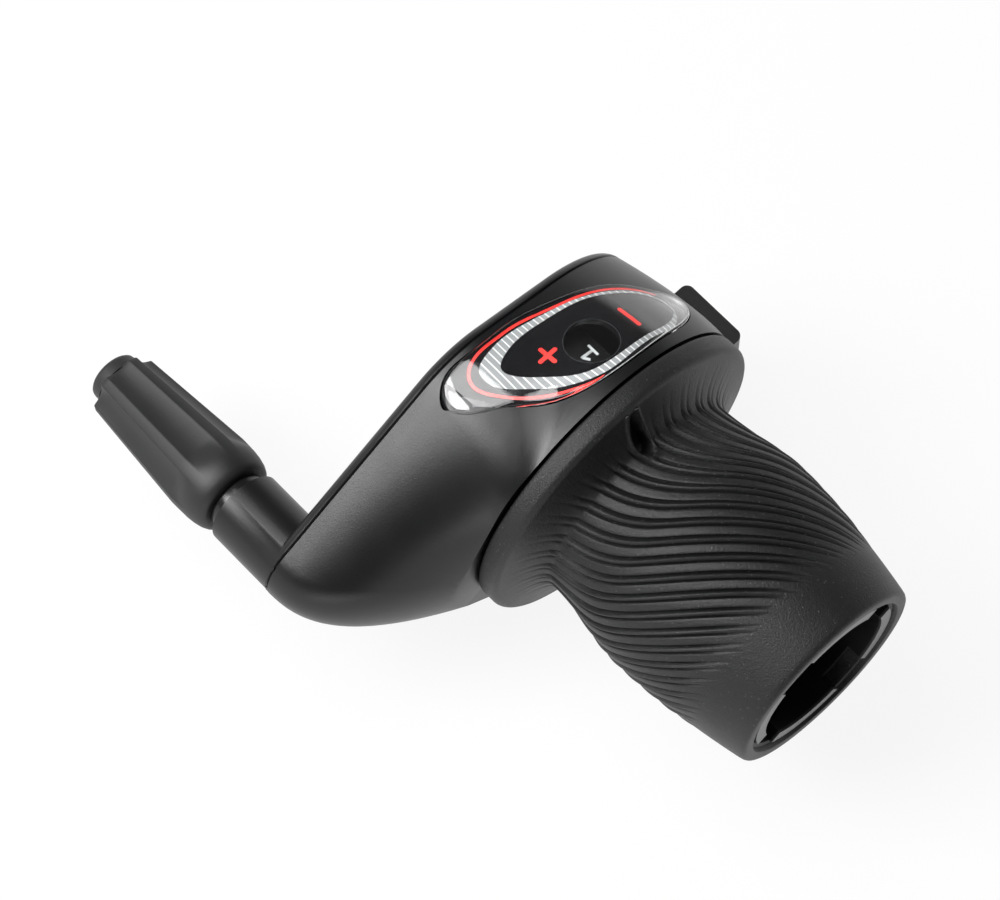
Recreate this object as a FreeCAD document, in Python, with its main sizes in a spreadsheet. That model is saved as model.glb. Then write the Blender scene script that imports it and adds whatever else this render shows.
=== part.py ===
"""Twist-grip gear shifter for the left end of a handlebar, with an indexed three-speed drum.

X runs along the bar towards its end, Y towards the rider and Z up. The origin is the clamp's centre.
Depths are measured inboard from the seam between housing and grip, angles about the bar from +Y to +Z.
"""
import FreeCAD, Part
import functools
import math
import os
import re
import Sketcher

os.makedirs("parts", exist_ok=True)
doc = FreeCAD.newDocument("TwistShifter")
V = FreeCAD.Vector

# Driving dimensions, in millimetres and degrees.
SIZES = [
    ("bar_bore_r", 11.2, "clamp bore on a 22.2 bar"),
    ("fit_gap", 0.05, "gap between pieces that seat on each other"),
    ("run_gap", 0.4, "gap between pieces that move past each other"),
    ("seam_x", 7.7, "clamp centre to the seam between housing and grip"),
    ("cover_depth", 19.2, "seam to the parting plane of cover and base"),
    ("base_depth", 1.6, "parting plane to the inboard face"),
    ("base_round", 1.4, "how far the inboard edge rounds in"),
    ("wall", 1.9, "wall of the housing"),
    ("end_wall", 1.4, "wall of the cover at the seam"),
    ("seam_r", 24.8, "housing around the bar at the seam"),
    ("back_r", 19.4, "housing around the bar at the parting plane"),
    ("back_shift", 3.4, "how far the housing leans to the rider at the parting plane"),
    ("brow_rise_seam", 0.7, "how far the brow stands out at the seam"),
    ("brow_rise_back", 7.6, "how far the brow stands out at the parting plane"),
    ("brow_offset", 12.0, "bar axis to the centre of the brow's round"),
    ("brow_angle", 138.0, "direction of the brow"),
    ("tail_reach_seam", 29.0, "bar axis to the front of the tail at the seam"),
    ("tail_reach_back", 47.3, "bar axis to the front of the tail at the parting plane"),
    ("tail_r_seam", 9.5, "round of the tail at the seam"),
    ("tail_r_back", 7.0, "round of the tail at the parting plane"),
    ("tail_drop_seam", 2.6, "tail below the bar axis at the seam"),
    ("tail_drop_back", 1.0, "tail below the bar axis at the parting plane"),
    ("collar_r", 15.0, "outside of the clamp collar"),
    ("collar_back", 4.0, "seam to the outboard end of the clamp collar"),
    ("ear_width", 8.4, "clamp ears along the bar"),
    ("ear_reach", 28.3, "bar axis to the end of the ears"),
    ("ear_top", 0.0, "upper face of the upper ear"),
    ("ear_height", 10.8, "upper face to lower face of the pair of ears"),
    ("ear_head_y", 25.0, "bar axis to where the ears stand clear of the cover"),
    ("ear_shift", 3.2, "how far the ends of the ears lean outboard"),
    ("slit_top", 4.8, "thickness of the upper ear"),
    ("slit_width", 1.2, "gap between the ears"),
    ("clamp_screw_y", 22.4, "bar axis to the clamp screw"),
    ("clamp_screw_r", 2.0, "shank of the clamp screw"),
    ("clamp_screw_length", 9.6, "shank length under the head"),
    ("clamp_head_r", 3.5, "head of the clamp screw"),
    ("clamp_head_height", 4.0, "head of the clamp screw"),
    ("socket_r", 1.73, "corner radius of the hex socket"),
    ("socket_depth", 2.2, "depth of the hex socket"),
    ("nut_flats", 7.0, "clamp nut across its flats"),
    ("nut_height", 3.0, "clamp nut"),
    ("nut_floor", 0.9, "upper ear left under the nut"),
    ("elbow_r", 5.85, "outside of the cable elbow"),
    ("elbow_length", 11.6, "parting plane to the end of the elbow"),
    ("elbow_rise", 0.4, "elbow axis above the centre of the tail"),
    ("adjuster_drop", 8.0, "how far the adjuster points down"),
    ("adjuster_sway", 2.2, "how far the adjuster points to the rider"),
    ("insert_r", 3.4, "outside of the brass insert"),
    ("insert_length", 3.5, "brass insert"),
    ("pocket_r", 4.1, "spring pocket in the elbow"),
    ("pocket_depth", 4.0, "spring pocket in the elbow"),
    ("stem_r", 2.5, "threaded stem of the adjuster"),
    ("stem_bore_r", 1.0, "cable bore of the stem"),
    ("stem_grip", 6.0, "how far the stem goes into the knob"),
    ("click_r", 4.8, "outside of the click collar"),
    ("click_length", 1.6, "click collar"),
    ("click_gap", 0.12, "gap at each end of the click collar"),
    ("spring_wire_r", 0.3, "wire of the adjuster spring"),
    ("spring_mean_r", 3.3, "adjuster spring at the middle of its wire"),
    ("spring_turns", 4.0, "turns of the adjuster spring"),
    ("knob_r", 6.85, "knob at its widest"),
    ("knob_end_r", 5.7, "knob at its elbow end"),
    ("knob_tip_r", 5.4, "knob at the shoulder of its flutes"),
    ("knob_skirt", 4.6, "elbow end of the knob to the start of its flutes"),
    ("knob_full", 6.5, "elbow end of the knob to where it is widest"),
    ("knob_body", 25.8, "elbow end of the knob to the shoulder of its flutes"),
    ("knob_shoulder", 0.5, "shoulder between the flutes and the nose"),
    ("knob_length", 28.5, "whole knob"),
    ("knob_nose_r", 3.65, "round nose where the casing goes in"),
    ("flute_count", 6, "flutes of the knob"),
    ("flute_r", 2.9, "round of each flute"),
    ("flute_depth", 1.15, "depth of each flute"),
    ("casing_r", 2.55, "seat for the cable casing"),
    ("casing_depth", 14.3, "depth of the casing seat"),
    ("liner_r", 1.3, "outside of the cable liner"),
    ("liner_bore_r", 0.8, "bore of the cable liner"),
    ("liner_bend_r", 7.0, "bend of the cable liner"),
    ("liner_lead", 12.0, "drum to the start of the liner"),
    ("drum_r", 17.6, "outside of the cable drum"),
    ("drum_bore_r", 15.6, "inside of the cable drum"),
    ("drum_back", 14.5, "seam to the inboard end of the drum"),
    ("drum_start", 66.0, "leading end of the drum at first gear"),
    ("drum_sweep", 248.0, "arc of the drum"),
    ("groove_back", 13.3, "seam to the cable groove"),
    ("groove_r", 0.75, "round of the cable groove"),
    ("peg_r", 0.85, "pegs that key the drum to the grip tube"),
    ("peg_length", 2.0, "pegs that key the drum to the grip tube"),
    ("band_back", 12.2, "seam to the inboard edge of the number band"),
    ("band_front", 4.2, "seam to the outboard edge of the number band"),
    ("band_depth", 0.5, "thickness of the number band"),
    ("band_start", 67.0, "leading end of the number band at first gear"),
    ("band_sweep", 82.0, "arc of the number band"),
    ("gear_step", 30.0, "turn from one gear to the next"),
    ("nose_angle", 248.0, "where the index spring meets the drum"),
    ("nose_r", 1.0, "round nose of the index spring"),
    ("nose_out", 18.3, "bar axis to the centre of the nose"),
    ("leaf_r", 18.6, "inside of the index spring's leaf"),
    ("leaf_gauge", 0.35, "thickness of the index spring"),
    ("leaf_back", 11.0, "seam to the inboard edge of the index spring"),
    ("leaf_width", 5.0, "index spring along the bar"),
    ("leaf_end", 268.0, "free end of the index spring"),
    ("pin_r", 1.0, "pin of the index spring"),
    ("pin_forward", 15.5, "bar axis forward to the spring pin"),
    ("pin_down", 12.0, "bar axis down to the spring pin"),
    ("pin_seat", 1.1, "how far the pin goes into the base"),
    ("disc_r", 20.6, "disc that holds the grip tube in the cover"),
    ("disc_back", 3.0, "seam to the inboard face of the disc"),
    ("disc_front", 1.7, "seam to the outboard face of the disc"),
    ("neck_r", 19.0, "neck of the grip tube through the cover"),
    ("neck_front", 1.4, "seam to the outboard face of the neck"),
    ("tube_r", 13.2, "outside of the grip tube"),
    ("tube_bore_r", 11.35, "bore of the grip tube"),
    ("tube_length", 44.3, "seam to the end of the grip tube"),
    ("notch_width", 6.0, "notches in the end of the grip tube"),
    ("notch_depth", 2.6, "notches in the end of the grip tube"),
    ("notch_count", 4, "notches in the end of the grip tube"),
    ("notch_turn", 30.0, "direction of the first notch in the grip tube"),
    ("washer_r", 14.8, "outside of the thrust washer"),
    ("washer_bore_r", 11.5, "bore of the thrust washer"),
    ("washer_gap", 0.1, "play on each side of the thrust washer"),
    ("grip_gap", 0.35, "gap between housing and grip"),
    ("grip_length", 44.7, "seam to the mouth of the grip"),
    ("flange_step", 0.1, "how far the flange of the grip stands out past the housing"),
    ("flange_edge", 4.0, "seam to the outboard edge of the flange"),
    ("edge_round", 0.5, "rounded edges of the grip"),
    ("flange_round", 1.2, "rounded outboard edge of the flange"),
    ("waist_r", 17.2, "waist behind the flange"),
    ("waist_x", 7.8, "seam to the waist"),
    ("bulge_r", 18.9, "grip at its fullest"),
    ("bulge_x", 21.5, "seam to where the grip is fullest"),
    ("mouth_r", 16.1, "grip at its mouth"),
    ("mouth_bore_r", 14.1, "inside of the mouth's lip"),
    ("rib_count", 32, "ribs around the grip"),
    ("rib_ridge", 0.2, "height of each rib's ridge"),
    ("rib_groove", 0.42, "depth of the groove on each side of a ridge"),
    ("rib_turn", 3.0, "direction of the first rib at the flange"),
    ("rib_start", 4.0, "seam to where the ribs start to turn"),
    ("rib_bend", 14.0, "length over which the ribs bend into their full twist"),
    ("rib_twist", 3.2, "full turn of the ribs for each millimetre along the grip"),
    ("rib_fade", 32.0, "seam to where the ribs start to fade"),
    ("rib_end", 37.0, "seam to where the ribs end"),
    ("slot_x", 6.1, "seam to the middle of the cable slot"),
    ("slot_angle", 87.8, "direction of the cable slot"),
    ("slot_run", 3.0, "cable slot along the bar"),
    ("slot_width", 1.6, "cable slot"),
    ("slot_depth", 1.5, "cable slot"),
    ("window_lean", 76.0, "direction that the window faces"),
    ("window_front", 20.9, "middle of the window to its front tip"),
    ("window_rear", 17.9, "middle of the window to its rear end"),
    ("window_outer", 1.7, "seam to the outboard edge of the window"),
    ("window_inner", 18.1, "seam to the inboard edge of the window"),
    ("window_gap", 0.15, "gap around the lens and the dial"),
    ("lens_proud", 0.4, "how far the lens stands out of the cover"),
    ("lens_depth", 1.15, "cover's surface to the underside of the lens"),
    ("dial_depth", 1.3, "cover's surface to the face of the dial"),
    ("dial_gauge", 0.7, "thickness of the dial"),
    ("dial_front", 12.3, "middle of the window to the dial's front tip"),
    ("dial_rear", 13.6, "middle of the window to the dial's rear end"),
    ("dial_margin", 1.9, "lens edge to dial edge"),
    ("port_r", 3.8, "round port in the dial"),
    ("port_depth", 7.85, "seam to the middle of the port"),
    ("port_shift", -0.6, "middle of the window to the middle of the port"),
    ("screw_r", 1.2, "shank of the cover screws"),
    ("screw_length", 8.5, "shank of the cover screws"),
    ("screw_head_r", 2.2, "head of the cover screws"),
    ("screw_head_height", 0.8, "head of the cover screws"),
    ("screw_gap", 0.15, "gap around the cover screws in the base"),
    ("boss_r", 2.4, "bosses in the cover"),
    ("web_gauge", 1.6, "webs under the bosses"),
]

sizes = doc.addObject("Spreadsheet::Sheet", "Sizes")
for row, (alias, value, note) in enumerate(SIZES, 1):
    sizes.set(f"A{row}", note)
    sizes.set(f"B{row}", str(value))
    sizes.setAlias(f"B{row}", alias)
doc.recompute()
ALIASES = {alias for alias, value, note in SIZES}
PIECES = []


def size(alias):
    """A driving dimension as a number."""
    return float(sizes.get(alias))


def cells(text):
    """An expression on the sheet, written with the bare names of its cells."""
    return re.sub(r"[a-z_]+", lambda word: f"Sizes.{word[0]}" if word[0] in ALIASES else word[0], text)


def keep(piece, label):
    """Name a document object as one of the shifter's pieces."""
    piece.Label = label
    PIECES.append(piece)
    return piece


def keep_shape(shape, label):
    """Keep a computed shape as a piece."""
    piece = doc.addObject("Part::Feature", label)
    piece.Shape = shape
    return keep(piece, label)


def bound(kind, name, **links):
    """A Part object whose properties are bound to the sheet; a double underscore stands for a dot."""
    thing = doc.addObject(kind, name)
    for path, text in links.items():
        thing.setExpression(path.replace("__", "."), cells(text))
    return thing


def draw(sketch, corners):
    """Draw a closed outline of straight lines with every corner bound to the sheet."""
    spots = []
    for along, out in corners:
        spots.append(V(float(sizes.evalExpression(cells(along))), float(sizes.evalExpression(cells(out))), 0))
    for number, spot in enumerate(spots):
        following = spots[(number + 1) % len(spots)]
        sketch.addGeometry(Part.LineSegment(spot, following), False)
    for number in range(len(spots)):
        sketch.addConstraint(Sketcher.Constraint("Coincident", number, 2, (number + 1) % len(spots), 1))
    for number, (along, out) in enumerate(corners):
        for kind, text, value in (("DistanceX", along, spots[number].x), ("DistanceY", out, spots[number].y)):
            index = sketch.addConstraint(Sketcher.Constraint(kind, -1, 1, number, 1, value))
            sketch.setExpression(f"Constraints[{index}]", cells(text))


def sketch_on(body, role, name):
    """A sketch on one of a body's own origin planes."""
    plane = next(feature for feature in body.Origin.OriginFeatures if feature.Role == role)
    sketch = body.newObject("Sketcher::SketchObject", name)
    sketch.AttachmentSupport = [(plane, "")]
    sketch.MapMode = "FlatFace"
    return sketch


def turned(name, corners):
    """A body turned about its X axis from an outline of (along, radius) corners."""
    body = doc.addObject("PartDesign::Body", name)
    profile = sketch_on(body, "XY_Plane", f"{name}_profile")
    draw(profile, corners)
    turn = body.newObject("PartDesign::Revolution", f"{name}_turn")
    turn.Profile = profile
    turn.ReferenceAxis = (profile, ["H_Axis"])
    turn.Angle = 360
    return body


def around(angle, radius, along=0.0):
    """The point at an angle and radius about the bar."""
    turn = math.radians(angle)
    return V(along, radius * math.cos(turn), radius * math.sin(turn))


def at_depth(depth):
    """The X of a depth inboard of the seam."""
    return size("seam_x") - depth


def rod(radius, deep, shallow, y=0.0, z=0.0):
    """A cylinder along the bar between two depths."""
    return Part.makeCylinder(radius, deep - shallow, V(at_depth(deep), y, z), V(1, 0, 0))


def slab(low, high):
    """A box between two corners."""
    return Part.makeBox(high.x - low.x, high.y - low.y, high.z - low.z, low)


def ring_sector(inner, outer, deep, shallow, start, sweep):
    """Part of a ring about the bar."""
    low = at_depth(deep)
    over = [around(start + sweep * share, outer, low) for share in (0, 0.5, 1)]
    under = [around(start + sweep * share, inner, low) for share in (1, 0.5, 0)]
    outline = Part.Wire([
        Part.Arc(*over).toShape(),
        Part.makeLine(over[2], under[0]),
        Part.Arc(*under).toShape(),
        Part.makeLine(under[2], over[0]),
    ])
    return Part.Face(outline).extrude(V(deep - shallow, 0, 0))


# Outer form of the housing: a round about the bar, a brow above and in front of it, and a tail for the cable.
FAR = 60.0
STATIONS = 6
RADIUS_EASE = 1.4
TAIL_EASE = 2.5


def rounds(depth):
    """The three rounds (y, z, radius) whose common outline is the housing's section at a depth."""
    share = min(1.0, depth / size("cover_depth"))
    body_r = size("seam_r") + (size("back_r") - size("seam_r")) * share ** RADIUS_EASE
    rise = size("brow_rise_seam") + (size("brow_rise_back") - size("brow_rise_seam")) * share
    brow = around(size("brow_angle"), size("brow_offset"))
    swept = 1 - (1 - share) ** TAIL_EASE
    tail_r = size("tail_r_seam") + (size("tail_r_back") - size("tail_r_seam")) * swept
    reach = size("tail_reach_seam") + (size("tail_reach_back") - size("tail_reach_seam")) * swept
    drop = size("tail_drop_seam") + (size("tail_drop_back") - size("tail_drop_seam")) * swept
    return [
        (size("back_shift") * share, 0.0, body_r),
        (brow.y, brow.z, body_r + rise - size("brow_offset")),
        (tail_r - reach, -drop, tail_r),
    ]


def housing_outline(depth, inset):
    """The closed outline of the housing at a depth, drawn in by an inset."""
    discs = [(y, z, radius - inset) for y, z, radius in rounds(depth)]
    turns = []
    for number, (y, z, radius) in enumerate(discs):
        next_y, next_z, next_r = discs[(number + 1) % len(discs)]
        gap = math.hypot(next_y - y, next_z - z)
        turns.append(math.atan2(next_z - z, next_y - y) - math.acos((radius - next_r) / gap))
    edges = []
    for number, (y, z, radius) in enumerate(discs):
        first, last = turns[number - 1], turns[number]
        while last < first:
            last += 2 * math.pi
        spots = []
        for turn in (first, (first + last) / 2, last):
            spots.append(V(at_depth(depth), y + radius * math.cos(turn), z + radius * math.sin(turn)))
        next_y, next_z, next_r = discs[(number + 1) % len(discs)]
        onward = V(at_depth(depth), next_y + next_r * math.cos(last), next_z + next_r * math.sin(last))
        edges.append(Part.Arc(*spots).toShape())
        edges.append(Part.makeLine(spots[2], onward))
    return Part.Wire(edges)


@functools.lru_cache(maxsize=None)
def housing_block(inset):
    """The solid housing from the seam to the parting plane, drawn in by an inset."""
    depths = [size("cover_depth") * step / (STATIONS - 1) for step in range(STATIONS)]
    return Part.makeLoft([housing_outline(depth, inset) for depth in depths], True, False)


# How the inboard edge rounds in, as (share of the base's depth, share of its round).
END_STEPS = ((0, 0), (0.55, 0.22), (0.88, 0.6), (1, 1))


def base_end():
    """The rounded inboard end of the housing."""
    outlines = []
    for along, drawn_in in END_STEPS:
        depth = size("cover_depth") + size("base_depth") * along
        outlines.append(housing_outline(depth, size("base_round") * drawn_in))
    return Part.makeLoft(outlines, True, False)


outer = housing_block(0)
inner = housing_block(size("wall"))
parting = at_depth(size("cover_depth"))
inboard = at_depth(size("cover_depth") + size("base_depth"))
cavity = inner.common(slab(V(parting, -FAR, -FAR), V(at_depth(size("end_wall")), FAR, FAR)))

# The adjuster's frame: its X axis leaves the end of the elbow, pointing inboard and a little down.
tail_y, tail_z, tail_end_r = rounds(size("cover_depth"))[2]
elbow_root = V(parting, size("elbow_r") - size("tail_reach_back"), tail_z + size("elbow_rise"))
droop = math.radians(size("adjuster_drop"))
sway = math.radians(size("adjuster_sway"))
outlet = V(-math.cos(droop) * math.cos(sway), math.cos(droop) * math.sin(sway), -math.sin(droop))
elbow_end = elbow_root + outlet * size("elbow_length")
adjuster_place = FreeCAD.Placement(elbow_end, FreeCAD.Rotation(V(1, 0, 0), outlet))


def along_outlet(radius, start, end):
    """A cylinder on the adjuster's axis, measured outwards from the end of the elbow."""
    return Part.makeCylinder(radius, end - start, elbow_end + outlet * start, outlet)


# Where the three cover screws go: (y, z, depth at which the boss starts, side that its web stands on).
SCREWS = [
    (-17.0, 12.0, 15.6, 1),
    (-31.0, -3.0, 6.0, -1),
    (-20.5, -7.5, 5.0, -1),
]

# The clamp ears and what passes between them.
ear_low = size("ear_top") - size("ear_height")
slit_high = size("ear_top") - size("slit_top")
half_ear = size("ear_width") / 2
tongue_low = V(parting, size("bar_bore_r"), ear_low - size("run_gap"))
tongue_high = V(at_depth(size("disc_back") + size("run_gap")), FAR, size("ear_top") + size("run_gap"))
tongue_step = V(0, 0, size("run_gap"))


# Points round the window and round the dial: share of the width from the outboard edge, and share of the
# length to the front tip (negative) or to the rear end.
WINDOW_SHAPE = (
    (0.774, -1), (0.396, -0.727), (0.11, -0.445), (0, 0.028), (0.018, 0.503), (0.152, 0.922), (0.287, 1),
    (0.463, 0.844), (0.695, 0.575), (0.89, 0.145), (1, -0.287), (0.994, -0.67), (0.945, -0.947),
)
DIAL_SHAPE = (
    (0.794, -1), (0.373, -0.715), (0.095, -0.423), (0, 0.015), (0, 0.441), (0.04, 0.882), (0.143, 1),
    (0.341, 0.985), (0.595, 0.743), (0.817, 0.316), (0.921, -0.244), (0.921, -0.715),
)


def shaped(shape, outboard, inboard_edge, front, rear):
    """An outline of (depth, shift) points on the plane that the window faces."""
    points = []
    for across, along in shape:
        points.append((outboard + (inboard_edge - outboard) * across, along * (rear if along > 0 else front)))
    return points


def window_outline(grow):
    """The window's outline, grown by a margin."""
    return shaped(
        WINDOW_SHAPE, size("window_outer") - grow, size("window_inner") + grow,
        size("window_front") + grow, size("window_rear") + grow,
    )


def dial_outline(grow):
    """The dial's outline inside the window's, grown by a margin."""
    margin = size("dial_margin") - grow
    return shaped(
        DIAL_SHAPE, size("window_outer") + margin, size("window_inner") - margin,
        size("dial_front") + grow, size("dial_rear") + grow,
    )


lean = math.radians(size("window_lean"))
facing = V(0, math.cos(lean), math.sin(lean))
beside = V(0, math.sin(lean), -math.cos(lean))
WINDOW_FLOOR = 8.0
WINDOW_HEIGHT = 24.0


def window_prism(outline):
    """A prism through the window with a smooth outline of (depth, shift) points."""
    spots = [V(at_depth(depth), 0, 0) + beside * shift + facing * WINDOW_FLOOR for depth, shift in outline]
    curve = Part.BSplineCurve()
    curve.interpolate(Points=spots, PeriodicFlag=True)
    return Part.Face(Part.Wire(curve.toShape())).extrude(facing * WINDOW_HEIGHT)


def clamp_block():
    """The clamp collar's two ears as one block, before the slit is cut."""
    neck_x = min(half_ear, at_depth(size("collar_back")))
    neck = slab(V(-half_ear, 0, ear_low), V(neck_x, size("ear_reach"), size("ear_top")))
    ends = slab(
        V(size("ear_shift") - half_ear, size("ear_head_y"), ear_low),
        V(size("ear_shift") + half_ear, size("ear_reach"), size("ear_top")),
    )
    block = neck.fuse(ends).removeSplitter()
    upright = [edge for edge in block.Edges if edge.BoundBox.ZLength > size("ear_height") - size("fit_gap")]
    outer_edges = [edge for edge in upright if edge.CenterOfMass.y > size("ear_reach") - size("fit_gap")]
    return block.makeFillet(size("slit_width"), outer_edges)


def key_way():
    """Cutter for the clamp screw's head and its key, below the ears."""
    return Part.makeCylinder(
        size("clamp_head_r") + size("run_gap"), FAR, V(0, size("clamp_screw_y"), ear_low), V(0, 0, -1)
    )


def base_bracket():
    """Moulded base: inboard end, clamp collar with ears, tongue that fills the cover's slot, cable elbow."""
    solid = base_end()
    half_space = slab(V(parting - FAR, -FAR, -FAR), V(parting, FAR, FAR))
    elbow = along_outlet(size("elbow_r"), -size("elbow_length") - size("elbow_r"), 0)
    solid = solid.fuse(elbow.common(half_space))
    tongue = slab(tongue_low + tongue_step * 0.5, tongue_high - tongue_step * 0.5)
    solid = solid.fuse(outer.cut(inner).common(tongue))
    solid = solid.fuse(rod(size("collar_r"), size("cover_depth") + size("base_depth"), size("collar_back")))
    solid = solid.fuse(clamp_block())
    solid = solid.cut(rod(size("bar_bore_r"), size("cover_depth") + size("base_depth") + 1, -1))
    slit = slab(V(-FAR, 0, slit_high - size("slit_width")), V(FAR, FAR, slit_high))
    reach = slab(V(-half_ear - size("slit_width"), 0, -FAR), V(FAR, FAR, FAR))
    solid = solid.cut(slit.common(reach))
    hole_r = size("clamp_screw_r") + size("screw_gap")
    hole_length = size("nut_floor") + size("nut_height") / 2 + slit_high - ear_low
    solid = solid.cut(Part.makeCylinder(hole_r, hole_length, V(0, size("clamp_screw_y"), ear_low)))
    solid = solid.cut(key_way())
    half_nut = size("nut_flats") / 2 + size("fit_gap")
    nut_low = slit_high + size("nut_floor")
    nut_slot = slab(
        V(-half_nut, size("clamp_screw_y") - size("nut_flats"), nut_low),
        V(half_nut, FAR, nut_low + size("nut_height") + size("fit_gap")),
    )
    nut_back = slab(V(-half_nut, -FAR, -FAR), V(half_nut, size("clamp_screw_y") - half_nut * 1.16, FAR))
    solid = solid.cut(nut_slot.cut(nut_back))
    inside = size("pocket_depth") + size("insert_length")
    solid = solid.cut(along_outlet(size("pocket_r"), -size("pocket_depth"), 1))
    solid = solid.cut(along_outlet(size("insert_r") + size("fit_gap"), -inside, 0))
    solid = solid.cut(along_outlet(size("liner_r") + size("screw_gap"), -FAR / 2, -inside + 1))
    pin_depth = size("cover_depth") + size("pin_seat")
    pin_hole = rod(size("pin_r") + size("fit_gap"), pin_depth, 0, -size("pin_forward"), -size("pin_down"))
    solid = solid.cut(pin_hole)
    head_depth = size("cover_depth") + size("base_depth") - size("screw_head_height")
    for y, z, boss_depth, side in SCREWS:
        solid = solid.cut(rod(size("screw_r") + size("screw_gap"), FAR, 0, y, z))
        solid = solid.cut(rod(size("screw_head_r") + size("screw_gap"), FAR, head_depth, y, z))
    return solid.removeSplitter()


def top_cover():
    """Moulded cover: shell with the window seat, the opening for the grip tube and three screw bosses."""
    hollow = cavity
    for y, z, boss_depth, side in SCREWS:
        boss = rod(size("boss_r"), size("cover_depth"), boss_depth, y, z)
        half_web = size("web_gauge") / 2
        heights = sorted((z, z + side * FAR))
        web = slab(
            V(parting, y - half_web, heights[0]), V(at_depth(boss_depth), y + half_web, heights[1])
        )
        hollow = hollow.cut(boss.fuse(web))
    shell = outer.cut(hollow)
    shell = shell.cut(rod(size("neck_r") + size("run_gap"), size("disc_back"), -1))
    shell = shell.cut(slab(tongue_low, tongue_high))
    shell = shell.cut(key_way())
    pilot_r = size("screw_r") + size("fit_gap")
    screw_end = size("cover_depth") + size("base_depth") - size("screw_head_height") - size("screw_length")
    for y, z, boss_depth, side in SCREWS:
        pilot_end = max(screw_end - size("screw_r"), boss_depth + size("fit_gap"))
        shell = shell.cut(rod(pilot_r, size("cover_depth"), pilot_end, y, z))
    seat = window_prism(window_outline(size("window_gap")))
    shell = shell.cut(seat.cut(housing_block(size("lens_depth") + size("fit_gap"))))
    return shell.cut(window_prism(dial_outline(size("window_gap")))).removeSplitter()


def window_lens():
    """Clear lens, curved with the cover and standing a little proud of it."""
    return housing_block(-size("lens_proud")).common(window_prism(window_outline(0))).cut(
        housing_block(size("lens_depth"))
    )


def dial_plate():
    """Dial under the lens, with its round port."""
    plate = housing_block(size("dial_depth")).common(window_prism(dial_outline(0)))
    plate = plate.cut(housing_block(size("dial_depth") + size("dial_gauge")))
    centre = V(at_depth(size("port_depth")), 0, 0) + beside * size("port_shift")
    return plate.cut(Part.makeCylinder(size("port_r"), FAR, centre, facing))


flange_r = size("seam_r") + size("flange_step")
FLANGE_EASE = 2.4
MOUTH_EASE = 1.7
# Where the grip's sections stand, as shares of each stretch: flange to waist, waist to bulge, bulge to the
# end of the ribs, and from there to the mouth.
FLANGE_STEPS = (0.12, 0.3, 0.6, 1)
BULGE_STEPS = (0.2, 0.4, 0.6, 0.8, 1)
FADE_STEPS = (0.17, 0.34, 0.5, 0.67, 0.84, 1)
MOUTH_STEPS = (0.5, 1)
# Points of one rib: share of the pitch from its ridge, and height as a share of the ridge or the groove.
RIB_SHAPE = ((-0.2, -1), (0, 1), (0.2, -1), (0.5, 0))


def grip_radius(along):
    """Smooth outside of the grip at a distance outboard of the seam."""
    flange_end = flange_r - size("flange_round")
    if along < size("waist_x"):
        share = (along - size("flange_edge")) / (size("waist_x") - size("flange_edge"))
        return size("waist_r") + (flange_end - size("waist_r")) * (1 - share) ** FLANGE_EASE
    if along < size("bulge_x"):
        share = (along - size("waist_x")) / (size("bulge_x") - size("waist_x"))
        return size("waist_r") + (size("bulge_r") - size("waist_r")) * share * share * (3 - 2 * share)
    share = (along - size("bulge_x")) / (size("grip_length") - size("bulge_x"))
    return size("bulge_r") - (size("bulge_r") - size("mouth_r")) * share ** MOUTH_EASE


def rib_share(along):
    """How far the ribs stand up at a distance outboard of the seam, from 0 to 1."""
    rising = (along - size("flange_edge")) / (size("waist_x") - size("flange_edge"))
    falling = (size("rib_end") - along) / (size("rib_end") - size("rib_fade"))
    return max(0.0, min(1.0, rising, falling))


def rib_direction(along):
    """Direction of the first rib: its twist builds up over the bend and stops where the ribs end."""
    run = max(0.0, min(along, size("rib_end")) - size("rib_start"))
    bent = min(run, size("rib_bend"))
    twist = size("rib_twist") * (bent * bent / (2 * size("rib_bend")) + run - bent)
    return size("rib_turn") - twist


def rib_outline(along, radius):
    """Closed row of points round the grip's section, on and between its ribs."""
    pitch = 360.0 / round(size("rib_count"))
    spots = []
    for rib in range(round(size("rib_count"))):
        for place, level in RIB_SHAPE:
            height = size("rib_ridge") if level > 0 else size("rib_groove")
            angle = rib_direction(along) + pitch * (rib + place)
            spots.append(around(angle, radius + height * level * rib_share(along), size("seam_x") + along))
    return spots + spots[:1]


def grip_profile():
    """The grip's outside as (distance outboard of the seam, radius) pairs."""
    edge = size("edge_round")
    bevel = size("flange_round")
    lip = size("grip_length") - 2 * edge
    stretches = (
        (size("flange_edge"), size("waist_x"), FLANGE_STEPS),
        (size("waist_x"), size("bulge_x"), BULGE_STEPS),
        (size("bulge_x"), size("rib_end"), FADE_STEPS),
        (size("rib_end"), lip, MOUTH_STEPS),
    )
    profile = [
        (size("grip_gap"), flange_r - edge),
        (size("grip_gap") + edge, flange_r),
        (size("flange_edge") - bevel, flange_r),
        (size("flange_edge") - bevel * 0.3, flange_r - bevel * 0.3),
        (size("flange_edge"), flange_r - bevel),
    ]
    for start, end, steps in stretches:
        for share in steps:
            along = start + (end - start) * share
            profile.append((along, grip_radius(along)))
    profile.append((size("grip_length") - edge / 2, grip_radius(lip) - edge / 2))
    profile.append((size("grip_length"), grip_radius(lip) - 2 * edge))
    return profile


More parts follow.
